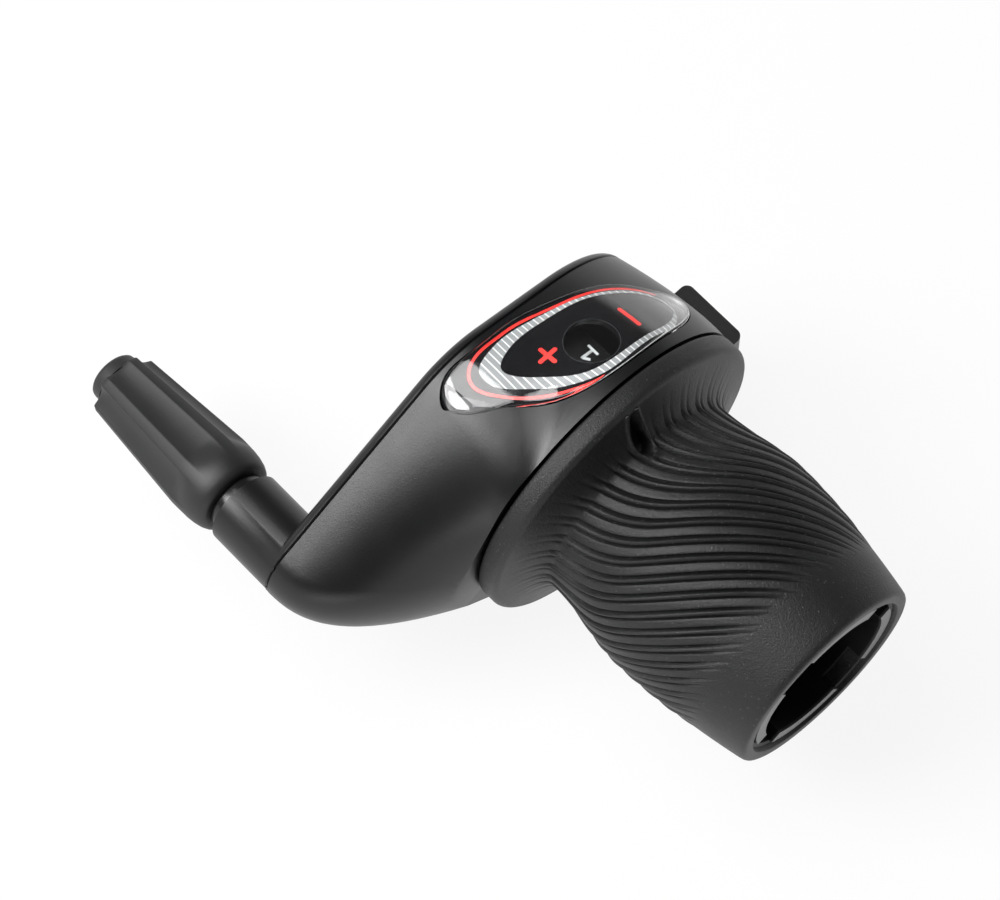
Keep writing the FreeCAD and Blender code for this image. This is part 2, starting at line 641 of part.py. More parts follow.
def grip_sleeve():
    """Rubber sleeve: flange, waist and bulge with twisted ribs, over the grip tube."""
    outlines = [rib_outline(along, radius) for along, radius in grip_profile()]
    half_way = len(outlines[0]) // 2
    skin = [Part.Face(Part.makePolygon(outlines[0])), Part.Face(Part.makePolygon(outlines[-1]))]
    for first in (0, half_way):
        strips = [Part.makePolygon(spots[first:first + half_way + 1]) for spots in outlines]
        skin += Part.makeLoft(strips, False, True).Faces
    shell = Part.Shell(skin)
    shell.sewShape()
    solid = Part.Solid(shell)
    if solid.Volume < 0:
        solid.reverse()
    inside_r = size("tube_r") + size("fit_gap")
    solid = solid.cut(rod(inside_r, 0, -size("grip_length") - 1))
    solid = solid.cut(rod(size("neck_r") + size("fit_gap"), 0, -size("neck_front") - size("fit_gap")))
    flare = size("mouth_bore_r") - inside_r
    flare_base = V(size("seam_x") + size("grip_length") - flare, 0, 0)
    flare_end_r = size("mouth_bore_r") + flare
    solid = solid.cut(Part.makeCone(inside_r, flare_end_r, 2 * flare, flare_base, V(1, 0, 0)))
    return solid.cut(grip_slot())


def grip_slot():
    """Cutter for the small oval slot that runs down the flange's outboard face."""
    ends = []
    for side in (-0.5, 0.5):
        along = size("slot_x") + size("slot_run") * side
        ends.append(around(size("slot_angle"), grip_radius(along), size("seam_x") + along))
    lengthwise = ends[1] - ends[0]
    crosswise = V(1, 0, 0).cross(around(size("slot_angle"), 1))
    inward = lengthwise.cross(crosswise)
    inward.normalize()
    if inward.x > 0:
        inward = inward * -1
    crosswise.normalize()
    half = crosswise * (size("slot_width") / 2)
    start = inward * -size("slot_depth")
    through = 2 * size("slot_depth")
    corners = [ends[0] - half, ends[0] + half, ends[1] + half, ends[1] - half, ends[0] - half]
    slot = Part.Face(Part.makePolygon([corner + start for corner in corners])).extrude(inward * through)
    for end in ends:
        slot = slot.fuse(Part.makeCylinder(size("slot_width") / 2, through, end + start, inward))
    return slot


def index_spring():
    """Leaf spring: an eye on its pin, a leaf beside the drum and a round nose in the drum's notch."""
    deep = size("leaf_back")
    shallow = deep - size("leaf_width")
    eye_bore = size("pin_r") + size("fit_gap")
    eye_r = eye_bore + size("leaf_gauge")
    pin_y, pin_z = -size("pin_forward"), -size("pin_down")
    pin_out = math.hypot(pin_y, pin_z)
    pin_angle = math.degrees(math.atan2(pin_z, pin_y)) % 360
    leaf_mid = size("leaf_r") + size("leaf_gauge") / 2
    eye_mid = (eye_bore + eye_r) / 2
    lead = (leaf_mid ** 2 + pin_out ** 2 - eye_mid ** 2) / (2 * leaf_mid * pin_out)
    start = pin_angle + math.degrees(math.acos(min(1.0, lead)))
    leaf = ring_sector(
        size("leaf_r"), size("leaf_r") + size("leaf_gauge"), deep, shallow, start, size("leaf_end") - start
    )
    eye = rod(eye_r, deep, shallow, pin_y, pin_z)
    nose_at = around(size("nose_angle"), size("nose_out"))
    nose = rod(size("nose_r"), deep, shallow, nose_at.y, nose_at.z)
    nose = nose.cut(rod(size("nose_r") - size("leaf_gauge"), deep, shallow, nose_at.y, nose_at.z))
    nose = nose.common(rod(leaf_mid, deep, shallow))
    spring = leaf.fuse(nose).fuse(eye).removeSplitter()
    return spring.cut(rod(eye_bore, deep, shallow, pin_y, pin_z))


def cable_drum():
    """Part-ring that winds the cable, with three index notches, a seat for the band and three pegs."""
    drum = ring_sector(
        size("drum_bore_r"), size("drum_r"),
        size("drum_back"), size("disc_back"),
        size("drum_start"), size("drum_sweep"),
    )
    groove_at = V(at_depth(size("groove_back")), 0, 0)
    groove = Part.makeTorus(size("drum_r"), size("groove_r"), groove_at, V(1, 0, 0))
    drum = drum.cut(groove)
    for gear in range(3):
        notch = around(size("nose_angle") + gear * size("gear_step"), size("nose_out"))
        notch_r = size("nose_r") + size("run_gap") * 0.75
        drum = drum.cut(rod(notch_r, size("band_back"), size("disc_back") + 1, notch.y, notch.z))
    drum = drum.cut(number_band(size("fit_gap")))
    for share in (0.15, 0.5, 0.85):
        peg = around(
            size("drum_start") + size("drum_sweep") * share, (size("drum_r") + size("drum_bore_r")) / 2
        )
        peg_end = size("disc_back") - size("peg_length")
        drum = drum.fuse(rod(size("peg_r"), size("disc_back") + size("peg_r"), peg_end, peg.y, peg.z))
    return drum.removeSplitter()


def number_band(grow):
    """Band for the gear numerals, set into the drum; grown for the seat that it lies in."""
    edge_angle = math.degrees(grow / size("drum_r"))
    return ring_sector(
        size("drum_r") - size("band_depth") - grow,
        size("drum_r") + grow,
        size("band_back") + grow,
        size("band_front") - grow,
        size("band_start") - edge_angle,
        size("band_sweep") + 2 * edge_angle,
    )


def cable_liner():
    """Bent liner from the drum, tangent to its groove, round into the elbow."""
    corner_back = (parting - at_depth(size("groove_back"))) / outlet.x
    corner = elbow_root - outlet * corner_back
    groove_mid = size("drum_r")
    to_corner = math.atan2(corner.z, corner.y) % (2 * math.pi)
    leave = to_corner - math.acos(groove_mid / math.hypot(corner.y, corner.z))
    touch = around(math.degrees(leave), groove_mid, corner.x)
    run = corner - touch
    run.normalize()
    half_turn = run.getAngle(outlet) / 2
    tangent = size("liner_bend_r") * math.tan(half_turn)
    bend_start = corner - run * tangent
    bend_end = corner + outlet * tangent
    inward = outlet - run
    inward.normalize()
    centre = corner + inward * (size("liner_bend_r") / math.cos(half_turn))
    start = touch + run * size("liner_lead")
    finish = elbow_end - outlet * (size("pocket_depth") + size("insert_length") + 2 * size("run_gap"))
    turn = math.degrees(2 * half_turn)

    def tube(radius):
        lead_in = Part.makeCylinder(radius, (bend_start - start).Length, start, run)
        round_face = Part.Face(Part.Wire(Part.makeCircle(radius, bend_start, run)))
        bend = round_face.revolve(centre, run.cross(outlet), turn)
        lead_out = Part.makeCylinder(radius, (finish - bend_end).Length, bend_end, outlet)
        return lead_in.fuse(bend).fuse(lead_out)

    return tube(size("liner_r")).cut(tube(size("liner_bore_r")))


WIRE_STEPS = 20
WIRE_SIDES = 8


def adjuster_spring():
    """Coil spring in the elbow's pocket, under the click collar."""
    low = size("fit_gap") + size("spring_wire_r") - size("pocket_depth")
    high = size("click_gap") - size("fit_gap") - size("spring_wire_r")
    steps = round(size("spring_turns") * WIRE_STEPS)
    rings = []
    for step in range(steps + 1):
        middle = around(360.0 * step / WIRE_STEPS, size("spring_mean_r"), low + (high - low) * step / steps)
        spots = []
        for side in range(WIRE_SIDES):
            turn = 2 * math.pi * side / WIRE_SIDES
            out = around(360.0 * step / WIRE_STEPS, size("spring_wire_r") * math.cos(turn))
            spots.append(middle + out + V(size("spring_wire_r") * math.sin(turn), 0, 0))
        rings.append(Part.makePolygon(spots + spots[:1]))
    solid = Part.makeLoft(rings, True, True)
    solid.Placement = adjuster_place
    return solid


# Housing.
keep_shape(base_bracket(), "base_bracket")
keep_shape(top_cover(), "top_cover")
keep_shape(window_lens(), "window_lens")
keep_shape(dial_plate(), "dial_plate")

# Clamp screw, head down under the lower ear, and its nut in the upper ear.
shank = bound("Part::Cylinder", "clamp_shank", Radius="clamp_screw_r", Height="clamp_screw_length")
head = bound(
    "Part::Cylinder", "clamp_head", Radius="clamp_head_r", Height="clamp_head_height",
    Placement__Base__z="-clamp_head_height",
)
socket = bound(
    "Part::Prism", "clamp_socket", Circumradius="socket_r", Height="socket_depth",
    Placement__Base__z="-clamp_head_height",
)
blank = doc.addObject("Part::Fuse", "clamp_blank")
blank.Base = shank
blank.Tool = head
clamp_screw = bound(
    "Part::Cut", "clamp_screw", Placement__Base__y="clamp_screw_y", Placement__Base__z="ear_top - ear_height"
)
clamp_screw.Base = blank
clamp_screw.Tool = socket
keep(clamp_screw, "clamp_screw")

nut_blank = bound("Part::Prism", "nut_blank", Circumradius="nut_flats / 3 ^ 0.5", Height="nut_height")
nut_blank.Placement.Rotation = FreeCAD.Rotation(V(0, 0, 1), 30)
nut_bore = bound("Part::Cylinder", "nut_bore", Radius="clamp_screw_r + fit_gap", Height="nut_height")
clamp_nut = bound(
    "Part::Cut", "clamp_nut",
    Placement__Base__y="clamp_screw_y",
    Placement__Base__z="ear_top - slit_top + nut_floor",
)
clamp_nut.Base = nut_blank
clamp_nut.Tool = nut_bore
keep(clamp_nut, "clamp_nut")

# Three cover screws, heads in the base's inboard face.
cover_screws = []
head_face = inboard + size("screw_head_height")
for y, z, boss_depth, side in SCREWS:
    room = at_depth(boss_depth) - head_face - size("run_gap")
    outboard = V(1, 0, 0)
    top = V(inboard, y, z)
    screw = Part.makeCylinder(size("screw_r"), min(size("screw_length"), room), V(head_face, y, z), outboard)
    screw = screw.fuse(Part.makeCylinder(size("screw_head_r"), size("screw_head_height"), top, outboard))
    recess = Part.makeCylinder(size("screw_r") / 2, size("screw_head_height") / 2, top, outboard)
    cover_screws.append(screw.cut(recess).removeSplitter())
keep_shape(Part.makeCompound(cover_screws), "cover_screws")

# Index spring and its pin, pressed into the base.
keep_shape(index_spring(), "index_spring")
spring_pin = bound(
    "Part::Cylinder", "spring_pin",
    Radius="pin_r",
    Height="cover_depth + pin_seat - leaf_back + leaf_width + pin_r",
    Placement__Base__x="seam_x - cover_depth - pin_seat",
    Placement__Base__y="-pin_forward",
    Placement__Base__z="-pin_down",
)
spring_pin.Placement.Rotation = FreeCAD.Rotation(V(0, 1, 0), 90)
keep(spring_pin, "spring_pin")
keep_shape(cable_liner(), "cable_liner")

# Thrust washer between the clamp collar and the disc of the grip tube.
thrust_washer = turned("thrust_washer", [
    ("seam_x - collar_back + washer_gap", "washer_bore_r"),
    ("seam_x - collar_back + washer_gap", "washer_r"),
    ("seam_x - disc_back - washer_gap", "washer_r"),
    ("seam_x - disc_back - washer_gap", "washer_bore_r"),
])
keep(thrust_washer, "thrust_washer")

# Grip tube: disc inside the cover, neck through it, and a tube with a castellated end.
tube_blank = turned("tube_blank", [
    ("seam_x - disc_back", "tube_bore_r"),
    ("seam_x - disc_back", "disc_r"),
    ("seam_x - disc_front", "disc_r"),
    ("seam_x - disc_front", "neck_r"),
    ("seam_x + neck_front", "neck_r"),
    ("seam_x + neck_front", "tube_r"),
    ("seam_x + tube_length", "tube_r"),
    ("seam_x + tube_length", "tube_bore_r"),
])
notch_sketch = sketch_on(tube_blank, "XY_Plane", "notch_sketch")
draw(notch_sketch, [
    ("seam_x + tube_length - notch_depth", "-notch_width / 2"),
    ("seam_x + tube_length + notch_depth", "-notch_width / 2"),
    ("seam_x + tube_length + notch_depth", "notch_width / 2"),
    ("seam_x + tube_length - notch_depth", "notch_width / 2"),
])
notch = tube_blank.newObject("PartDesign::Pocket", "tube_notch")
notch.Profile = notch_sketch
notch.setExpression("Length", cells("2 * tube_r"))
notches = tube_blank.newObject("PartDesign::PolarPattern", "tube_notches")
notches.Originals = [notch]
notches.Axis = (notch_sketch, ["H_Axis"])
notches.Angle = 360
notches.setExpression("Occurrences", cells("notch_count"))
tube_blank.Tip = notches
tube_blank.Placement = FreeCAD.Placement(V(0, 0, 0), FreeCAD.Rotation(V(1, 0, 0), size("notch_turn")))
doc.recompute()
peg_holes = []
for share in (0.15, 0.5, 0.85):
    peg_at = around(
        size("drum_start") + size("drum_sweep") * share, (size("drum_r") + size("drum_bore_r")) / 2
    )
    hole_end = size("disc_back") - size("peg_length") - size("fit_gap")
    peg_holes.append(rod(size("peg_r") + size("fit_gap"), size("disc_back"), hole_end, peg_at.y, peg_at.z))
peg_seats = doc.addObject("Part::Feature", "peg_seats")
peg_seats.Shape = Part.makeCompound(peg_holes)
keyed_tube = doc.addObject("Part::Cut", "keyed_tube")
keyed_tube.Base = tube_blank
keyed_tube.Tool = peg_seats
keep(keyed_tube, "grip_tube")

# Rubber sleeve, cable drum and number band turn with the tube.
keep_shape(grip_sleeve(), "grip_sleeve")
keep_shape(cable_drum(), "cable_drum")
keep_shape(number_band(0), "number_band")

# Cable adjuster on the elbow.
elbow_insert = turned("elbow_insert", [
    ("-pocket_depth - insert_length", "stem_r + fit_gap"),
    ("-pocket_depth - insert_length", "insert_r"),
    ("-pocket_depth", "insert_r"),
    ("-pocket_depth", "stem_r + fit_gap"),
])
adjuster_stem = turned("adjuster_stem", [
    ("-pocket_depth - insert_length + fit_gap", "stem_bore_r"),
    ("-pocket_depth - insert_length + fit_gap", "stem_r"),
    ("2 * click_gap + click_length + stem_grip", "stem_r"),
    ("2 * click_gap + click_length + stem_grip", "stem_bore_r"),
])
click_collar = turned("click_collar", [
    ("click_gap", "stem_r + run_gap / 2"),
    ("click_gap", "click_r"),
    ("click_gap + click_length", "click_r"),
    ("click_gap + click_length", "stem_r + run_gap / 2"),
])
KNOB = "2 * click_gap + click_length"
knob_blank = turned("knob_blank", [
    (KNOB, "stem_r + fit_gap"),
    (KNOB, "knob_end_r"),
    (f"{KNOB} + (knob_r - knob_end_r) / 2", "(knob_r + knob_end_r) / 2"),
    (f"{KNOB} + knob_skirt / 2", "knob_r - (knob_r - knob_end_r) / 6"),
    (f"{KNOB} + knob_full", "knob_r"),
    (f"{KNOB} + knob_body", "knob_tip_r"),
    (f"{KNOB} + knob_body + knob_shoulder", "knob_nose_r"),
    (f"{KNOB} + knob_length - knob_nose_r + casing_r", "knob_nose_r"),
    (f"{KNOB} + knob_length", "casing_r + fit_gap"),
    (f"{KNOB} + knob_length", "casing_r"),
    (f"{KNOB} + knob_length - casing_depth", "casing_r"),
    (f"{KNOB} + knob_length - casing_depth", "stem_bore_r"),
    (f"{KNOB} + stem_grip + fit_gap", "stem_bore_r"),
    (f"{KNOB} + stem_grip + fit_gap", "stem_r + fit_gap"),
])
doc.recompute()
knob_start = 2 * size("click_gap") + size("click_length")
taper = (size("knob_r") - size("knob_tip_r")) / (size("knob_body") - size("knob_full"))
flutes = []
for number in range(round(size("flute_count"))):
    out = around(360.0 * number / size("flute_count"), 1)
    floor = size("knob_r") - size("flute_depth") + size("flute_r")
    start = V(knob_start + size("knob_skirt") + size("flute_r") / 2, 0, 0) + out * floor
    flute = Part.makeCylinder(size("flute_r"), size("knob_length"), start, V(1, 0, 0) - out * taper)
    flutes.append(flute.fuse(Part.makeSphere(size("flute_r"), start)))
flute_tools = doc.addObject("Part::Feature", "flute_tools")
flute_tools.Shape = Part.makeCompound(flutes)
fluted_knob = doc.addObject("Part::Cut", "fluted_knob")
fluted_knob.Base = knob_blank
fluted_knob.Tool = flute_tools
for piece, label in (
    (elbow_insert, "elbow_insert"), (adjuster_stem, "adjuster_stem"),
    (click_collar, "click_collar"), (fluted_knob, "adjuster_knob"),
):
    piece.Placement = adjuster_place
    keep(piece, label)
keep_shape(adjuster_spring(), "adjuster_spring")

# Every object has to be sound before anything is written.
doc.recompute()
for thing in doc.Objects:
    if "Invalid" in thing.State or "Error" in thing.State:
        raise SystemExit(f"{thing.Name} failed: {thing.State}")
for piece in PIECES:
    if piece.Shape.isNull() or not piece.Shape.isValid():
        raise SystemExit(f"{piece.Label} has no valid shape")
for piece in PIECES:
    piece.Shape.exportStep(os.path.join("parts", f"{piece.Label}.step"))
    print(f"{piece.Label}: {len(piece.Shape.Solids)} solids, {piece.Shape.Volume:.1f} mm3")
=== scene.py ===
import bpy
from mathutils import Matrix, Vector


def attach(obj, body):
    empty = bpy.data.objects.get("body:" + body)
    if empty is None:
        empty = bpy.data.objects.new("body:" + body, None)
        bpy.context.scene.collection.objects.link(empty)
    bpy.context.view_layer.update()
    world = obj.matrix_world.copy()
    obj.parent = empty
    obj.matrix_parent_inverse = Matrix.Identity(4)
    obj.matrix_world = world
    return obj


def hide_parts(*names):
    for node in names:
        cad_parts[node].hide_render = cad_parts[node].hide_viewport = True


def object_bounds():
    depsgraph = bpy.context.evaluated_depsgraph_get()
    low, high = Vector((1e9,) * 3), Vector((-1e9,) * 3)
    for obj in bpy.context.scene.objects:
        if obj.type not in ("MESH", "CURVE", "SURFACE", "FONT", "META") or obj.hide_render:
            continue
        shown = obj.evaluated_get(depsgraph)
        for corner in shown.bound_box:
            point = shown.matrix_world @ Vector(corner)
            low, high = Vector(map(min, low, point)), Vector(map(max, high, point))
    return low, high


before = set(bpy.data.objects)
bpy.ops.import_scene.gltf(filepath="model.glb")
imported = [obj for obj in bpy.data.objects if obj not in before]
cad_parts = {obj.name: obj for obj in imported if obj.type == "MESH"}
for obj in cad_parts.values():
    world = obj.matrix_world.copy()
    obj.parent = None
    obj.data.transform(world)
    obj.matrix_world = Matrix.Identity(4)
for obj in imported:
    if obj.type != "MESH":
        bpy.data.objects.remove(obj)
cad_box = [[float(value) for value in corner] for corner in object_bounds()]

import math

import bpy
import numpy as np
from mathutils import Matrix, Vector

# Base bracket: the inboard half of the housing with the clamp collar, its two ears and the cable elbow.
# It is one moulding in glass-filled nylon, spark-eroded in the tool to a satin black.
MM = 0.001
WELD_GAP = 0.003
SKIN_CLOUD, SKIN_RELIEF = 9.0, 0.05
SMOOTHER, ROUGHER = 0.05, 0.06


def linear(code):
    """An sRGB hex colour as linear red, green, blue and alpha."""
    channels = [int(code[place:place + 2], 16) / 255 for place in (1, 3, 5)]
    return [c / 12.92 if c <= 0.04045 else ((c + 0.055) / 1.055) ** 2.4 for c in channels] + [1.0]


def add_node(material, kind, settings, inputs):
    """Add a shader node, set its properties, and give its inputs a value or link them to an output."""
    # A Mix node's inputs go by number: 0 is the share, 6 and 7 are its colours, 2 and 3 its plain numbers.
    node = material.node_tree.nodes.new(kind)
    for name, value in settings.items():
        setattr(node, name, value)
    for name, value in inputs.items():
        if isinstance(value, bpy.types.NodeSocket):
            material.node_tree.links.new(value, node.inputs[name])
        else:
            node.inputs[name].default_value = value
    return node


def new_material(name):
    """An empty material with its principled shader."""
    material = bpy.data.materials.new(name)
    material.use_nodes = True
    return material, material.node_tree.nodes["Principled BSDF"]


def welded_copy(node_name, piece_name, angle):
    """A copy of a solid with its triangles joined, shaded smooth up to an angle in degrees."""
    bpy.ops.object.select_all(action="DESELECT")
    piece = bpy.data.objects.new(piece_name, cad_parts[node_name].data.copy())
    bpy.context.collection.objects.link(piece)
    bpy.context.view_layer.objects.active = piece
    piece.select_set(True)
    bpy.ops.mesh.customdata_custom_splitnormals_clear()
    bpy.ops.object.mode_set(mode="EDIT")
    bpy.ops.mesh.select_all(action="SELECT")
    bpy.ops.mesh.remove_doubles(threshold=WELD_GAP * MM)
    bpy.ops.object.mode_set(mode="OBJECT")
    bpy.ops.object.shade_smooth_by_angle(angle=math.radians(angle))
    return piece


def dress(piece, material, body, slot, *nodes):
    """Give a piece its material, let it ride on a body, and hide the nodes it stands for."""
    piece.data.materials.clear()
    piece.data.materials.append(material)
    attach(piece, body)
    if nodes:
        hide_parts(*nodes)


def satin_nylon(name, dark, light, grit_mm, roughness):
    """Moulded plastic with a spark-eroded skin, at a width of grit in millimetres."""
    # To the eye it is even and dark, a little cloudy, and a fine grit breaks up its soft highlight.
    # The real grit is a few hundredths of a millimetre wide and wouldn't show, so it is drawn coarser.
    material, shader = new_material(name)
    place = add_node(material, "ShaderNodeTexCoord", {}, {})
    grit = add_node(material, "ShaderNodeTexNoise", {}, {
        "Vector": place.outputs["Object"], "Scale": 1 / (grit_mm * MM), "Detail": 3.0, "Roughness": 0.6,
    })
    cloud = add_node(material, "ShaderNodeTexNoise", {}, {
        "Vector": place.outputs["Object"], "Scale": 1 / (SKIN_CLOUD * MM), "Detail": 2.0,
    })
    tone = add_node(material, "ShaderNodeMix", {"data_type": "RGBA"}, {
        0: cloud.outputs["Fac"], 6: linear(dark), 7: linear(light),
    })
    gloss = add_node(material, "ShaderNodeMapRange", {}, {
        "Value": cloud.outputs["Fac"], "To Min": roughness - SMOOTHER, "To Max": roughness + ROUGHER,
    })
    relief = add_node(material, "ShaderNodeBump", {}, {
        "Height": grit.outputs["Fac"], "Strength": 0.3, "Distance": SKIN_RELIEF * MM,
    })
    material.node_tree.links.new(tone.outputs[2], shader.inputs["Base Color"])
    material.node_tree.links.new(gloss.outputs["Result"], shader.inputs["Roughness"])
    material.node_tree.links.new(relief.outputs["Normal"], shader.inputs["Normal"])
    shader.inputs["IOR"].default_value = 1.5
    return material


# Sizes are in millimetres: x along the bar from the clamp, and depth inboard of the seam with the sleeve.
SEAM_X = 7.7
COVER_DEPTH = 19.2
SEAM_R, BACK_R, BACK_SHIFT = 24.8, 19.4, 3.4
BROW_ANGLE, BROW_OFFSET, BROW_SEAM, BROW_BACK = math.radians(138), 12.0, 0.7, 7.6
TAIL_REACH, TAIL_R, TAIL_DROP = (29.0, 47.3), (9.5, 7.0), (2.6, 1.0)
SWEEP_POWER, BODY_POWER = 2.5, 1.4
GROOVE_WIDTH, GROOVE_DEPTH = 0.22, 0.3
ON_PLANE, NEAR_SKIN, LOOK_STEP = 0.005, 0.1, 3


def housing_rounds(depth):
    """The three rounds (y, z, radius) whose common outline is the housing's section at a depth."""
    share = np.clip(depth / COVER_DEPTH, 0, 1)
    swept = 1 - (1 - share) ** SWEEP_POWER
    body_r = SEAM_R + (BACK_R - SEAM_R) * share ** BODY_POWER
    tail_r = TAIL_R[0] + (TAIL_R[1] - TAIL_R[0]) * swept
    reach = TAIL_REACH[0] + (TAIL_REACH[1] - TAIL_REACH[0]) * swept
    drop = TAIL_DROP[0] + (TAIL_DROP[1] - TAIL_DROP[0]) * swept
    brow_r = body_r + BROW_SEAM + (BROW_BACK - BROW_SEAM) * share - BROW_OFFSET
    brow_y, brow_z = BROW_OFFSET * math.cos(BROW_ANGLE), BROW_OFFSET * math.sin(BROW_ANGLE)
    return (
        (BACK_SHIFT * share, 0 * share, body_r),
        (brow_y + 0 * share, brow_z + 0 * share, brow_r),
        (tail_r - reach, -drop, tail_r),
    )


def parting_groove(piece, toward):
    """Chamfer a half of the housing along the parting plane, so that the halves meet in a fine groove."""
    parting = SEAM_X - COVER_DEPTH
    rounds = housing_rounds(COVER_DEPTH)
    bpy.ops.object.select_all(action="DESELECT")
    bpy.context.view_layer.objects.active = piece
    piece.select_set(True)
    bpy.ops.object.mode_set(mode="EDIT")
    bpy.ops.mesh.select_all(action="SELECT")
    cut = (parting + toward * GROOVE_WIDTH) * MM
    bpy.ops.mesh.bisect(plane_co=(cut, 0, 0), plane_no=(1, 0, 0))
    bpy.ops.object.mode_set(mode="OBJECT")
    for vertex in piece.data.vertices:
        if abs(vertex.co.x - parting * MM) > ON_PLANE * MM:
            continue
        nearest = (math.inf, 0.0)
        for turn in np.radians(np.arange(0, 360, LOOK_STEP)):
            across, up = math.cos(turn), math.sin(turn)
            reach = max(y * across + z * up + r for y, z, r in rounds)
            gap = reach - (vertex.co.y * across + vertex.co.z * up) / MM
            nearest = min(nearest, (gap, turn))
        if nearest[0] < NEAR_SKIN:
            inward = Vector((0, -math.cos(nearest[1]), -math.sin(nearest[1])))
            vertex.co += inward * GROOVE_DEPTH * MM
    bpy.ops.object.shade_smooth_by_angle(angle=math.radians(32))


# Satin black nylon gives long, soft highlights that let the curves of the housing be read.
housing_nylon = satin_nylon("satin_black_nylon", "#0c0d0e", "#111113", grit_mm=0.22, roughness=0.35)
base = welded_copy("base_bracket", "base_moulding", angle=32)
parting_groove(base, -1)
dress(base, housing_nylon, "housing", "base_plastic", "base_bracket")

# Clamp screw, its nut and the three cover screws: rolled and turned steel with a dull zinc coat.
# The clamp screw pulls the two ears together under the bar.
ZINC_BLOOM = 0.6
# Zinc plate gives a dull, cool grey that is patchy in tone and gloss.
# Its real bloom is finer than a tenth of a millimetre and is drawn coarser, so that it shows.
zinc_steel, zinc_shader = new_material("zinc_plated_steel")
zinc_place = add_node(zinc_steel, "ShaderNodeTexCoord", {}, {})
zinc_bloom = add_node(zinc_steel, "ShaderNodeTexNoise", {}, {
    "Vector": zinc_place.outputs["Object"], "Scale": 1 / (ZINC_BLOOM * MM), "Detail": 4.0,
})
zinc_tone = add_node(zinc_steel, "ShaderNodeMix", {"data_type": "RGBA"}, {
    0: zinc_bloom.outputs["Fac"], 6: linear("#8d8f92"), 7: linear("#b4b6b8"),
})
zinc_gloss = add_node(zinc_steel, "ShaderNodeMapRange", {}, {
    "Value": zinc_bloom.outputs["Fac"], "To Min": 0.28, "To Max": 0.42,
})
zinc_steel.node_tree.links.new(zinc_tone.outputs[2], zinc_shader.inputs["Base Color"])
zinc_steel.node_tree.links.new(zinc_gloss.outputs["Result"], zinc_shader.inputs["Roughness"])
zinc_shader.inputs["Metallic"].default_value = 1.0
for fastener in ("clamp_screw", "clamp_nut", "cover_screws"):
    steel_piece = welded_copy(fastener, f"{fastener}_steel", angle=30)
    dress(steel_piece, zinc_steel, "housing", "screw_steel", fastener)

# Index spring, its pin and the adjuster's coil: bright drawn spring steel.
# The leaf hooks on the pin and clicks in the drum; the coil pushes on the click collar.
WIRE_MARK = 0.35
# Drawn steel gives bright, narrow glints that marks from the die break up.
# The real marks are hair-thin and are drawn coarser, so that they show.
spring_wire, wire_shader = new_material("drawn_spring_steel")
wire_place = add_node(spring_wire, "ShaderNodeTexCoord", {}, {})
wire_marks = add_node(spring_wire, "ShaderNodeTexNoise", {}, {
    "Vector": wire_place.outputs["Object"], "Scale": 1 / (WIRE_MARK * MM), "Detail": 3.0,
})
wire_gloss = add_node(spring_wire, "ShaderNodeMapRange", {}, {
    "Value": wire_marks.outputs["Fac"], "To Min": 0.18, "To Max": 0.34,
})
spring_wire.node_tree.links.new(wire_gloss.outputs["Result"], wire_shader.inputs["Roughness"])
wire_shader.inputs["Base Color"].default_value = linear("#b9babb")
wire_shader.inputs["Metallic"].default_value = 1.0
for sprung in ("index_spring", "spring_pin", "adjuster_spring"):
    spring_piece = welded_copy(sprung, f"{sprung}_wire", angle=40)
    dress(spring_piece, spring_wire, "housing", "spring_steel", sprung)

# Cable liner and thrust washer: natural acetal, moulded without a pigment.
# The liner leads the cable round the bend; the washer keeps the tube's disc off the collar.
ACETAL_CLOUD = 3.0
# Natural acetal gives a milky, slightly cloudy white with a waxy sheen.
acetal, acetal_shader = new_material("natural_acetal")
acetal_place = add_node(acetal, "ShaderNodeTexCoord", {}, {})
acetal_cloud = add_node(acetal, "ShaderNodeTexNoise", {}, {
    "Vector": acetal_place.outputs["Object"], "Scale": 1 / (ACETAL_CLOUD * MM), "Detail": 2.0,
})
acetal_tone = add_node(acetal, "ShaderNodeMix", {"data_type": "RGBA"}, {
    0: acetal_cloud.outputs["Fac"], 6: linear("#d8d8d0"), 7: linear("#e4e4dd"),
})
acetal.node_tree.links.new(acetal_tone.outputs[2], acetal_shader.inputs["Base Color"])
acetal_shader.inputs["Roughness"].default_value = 0.35
for slippery in ("cable_liner", "thrust_washer"):
    acetal_piece = welded_copy(slippery, f"{slippery}_acetal", angle=40)
    dress(acetal_piece, acetal, "housing", "liner_plastic", slippery)

# Cable drum and grip tube: mouldings in black acetal that turn with the grip.
# The tube's castellated end shows in the mouth of the sleeve.
TUBE_END, LIT_END_FROM, LIT_END_FULL = 44.3, 0.5, 0.1
# Black acetal gives a plain, slightly waxy black, a shade lighter than the housing.
drum_acetal = satin_nylon("black_acetal", "#141516", "#191a1b", grit_mm=0.3, roughness=0.34)
drum = welded_copy("cable_drum", "drum_moulding", angle=32)
dress(drum, drum_acetal, "grip", "drum_plastic", "cable_drum")
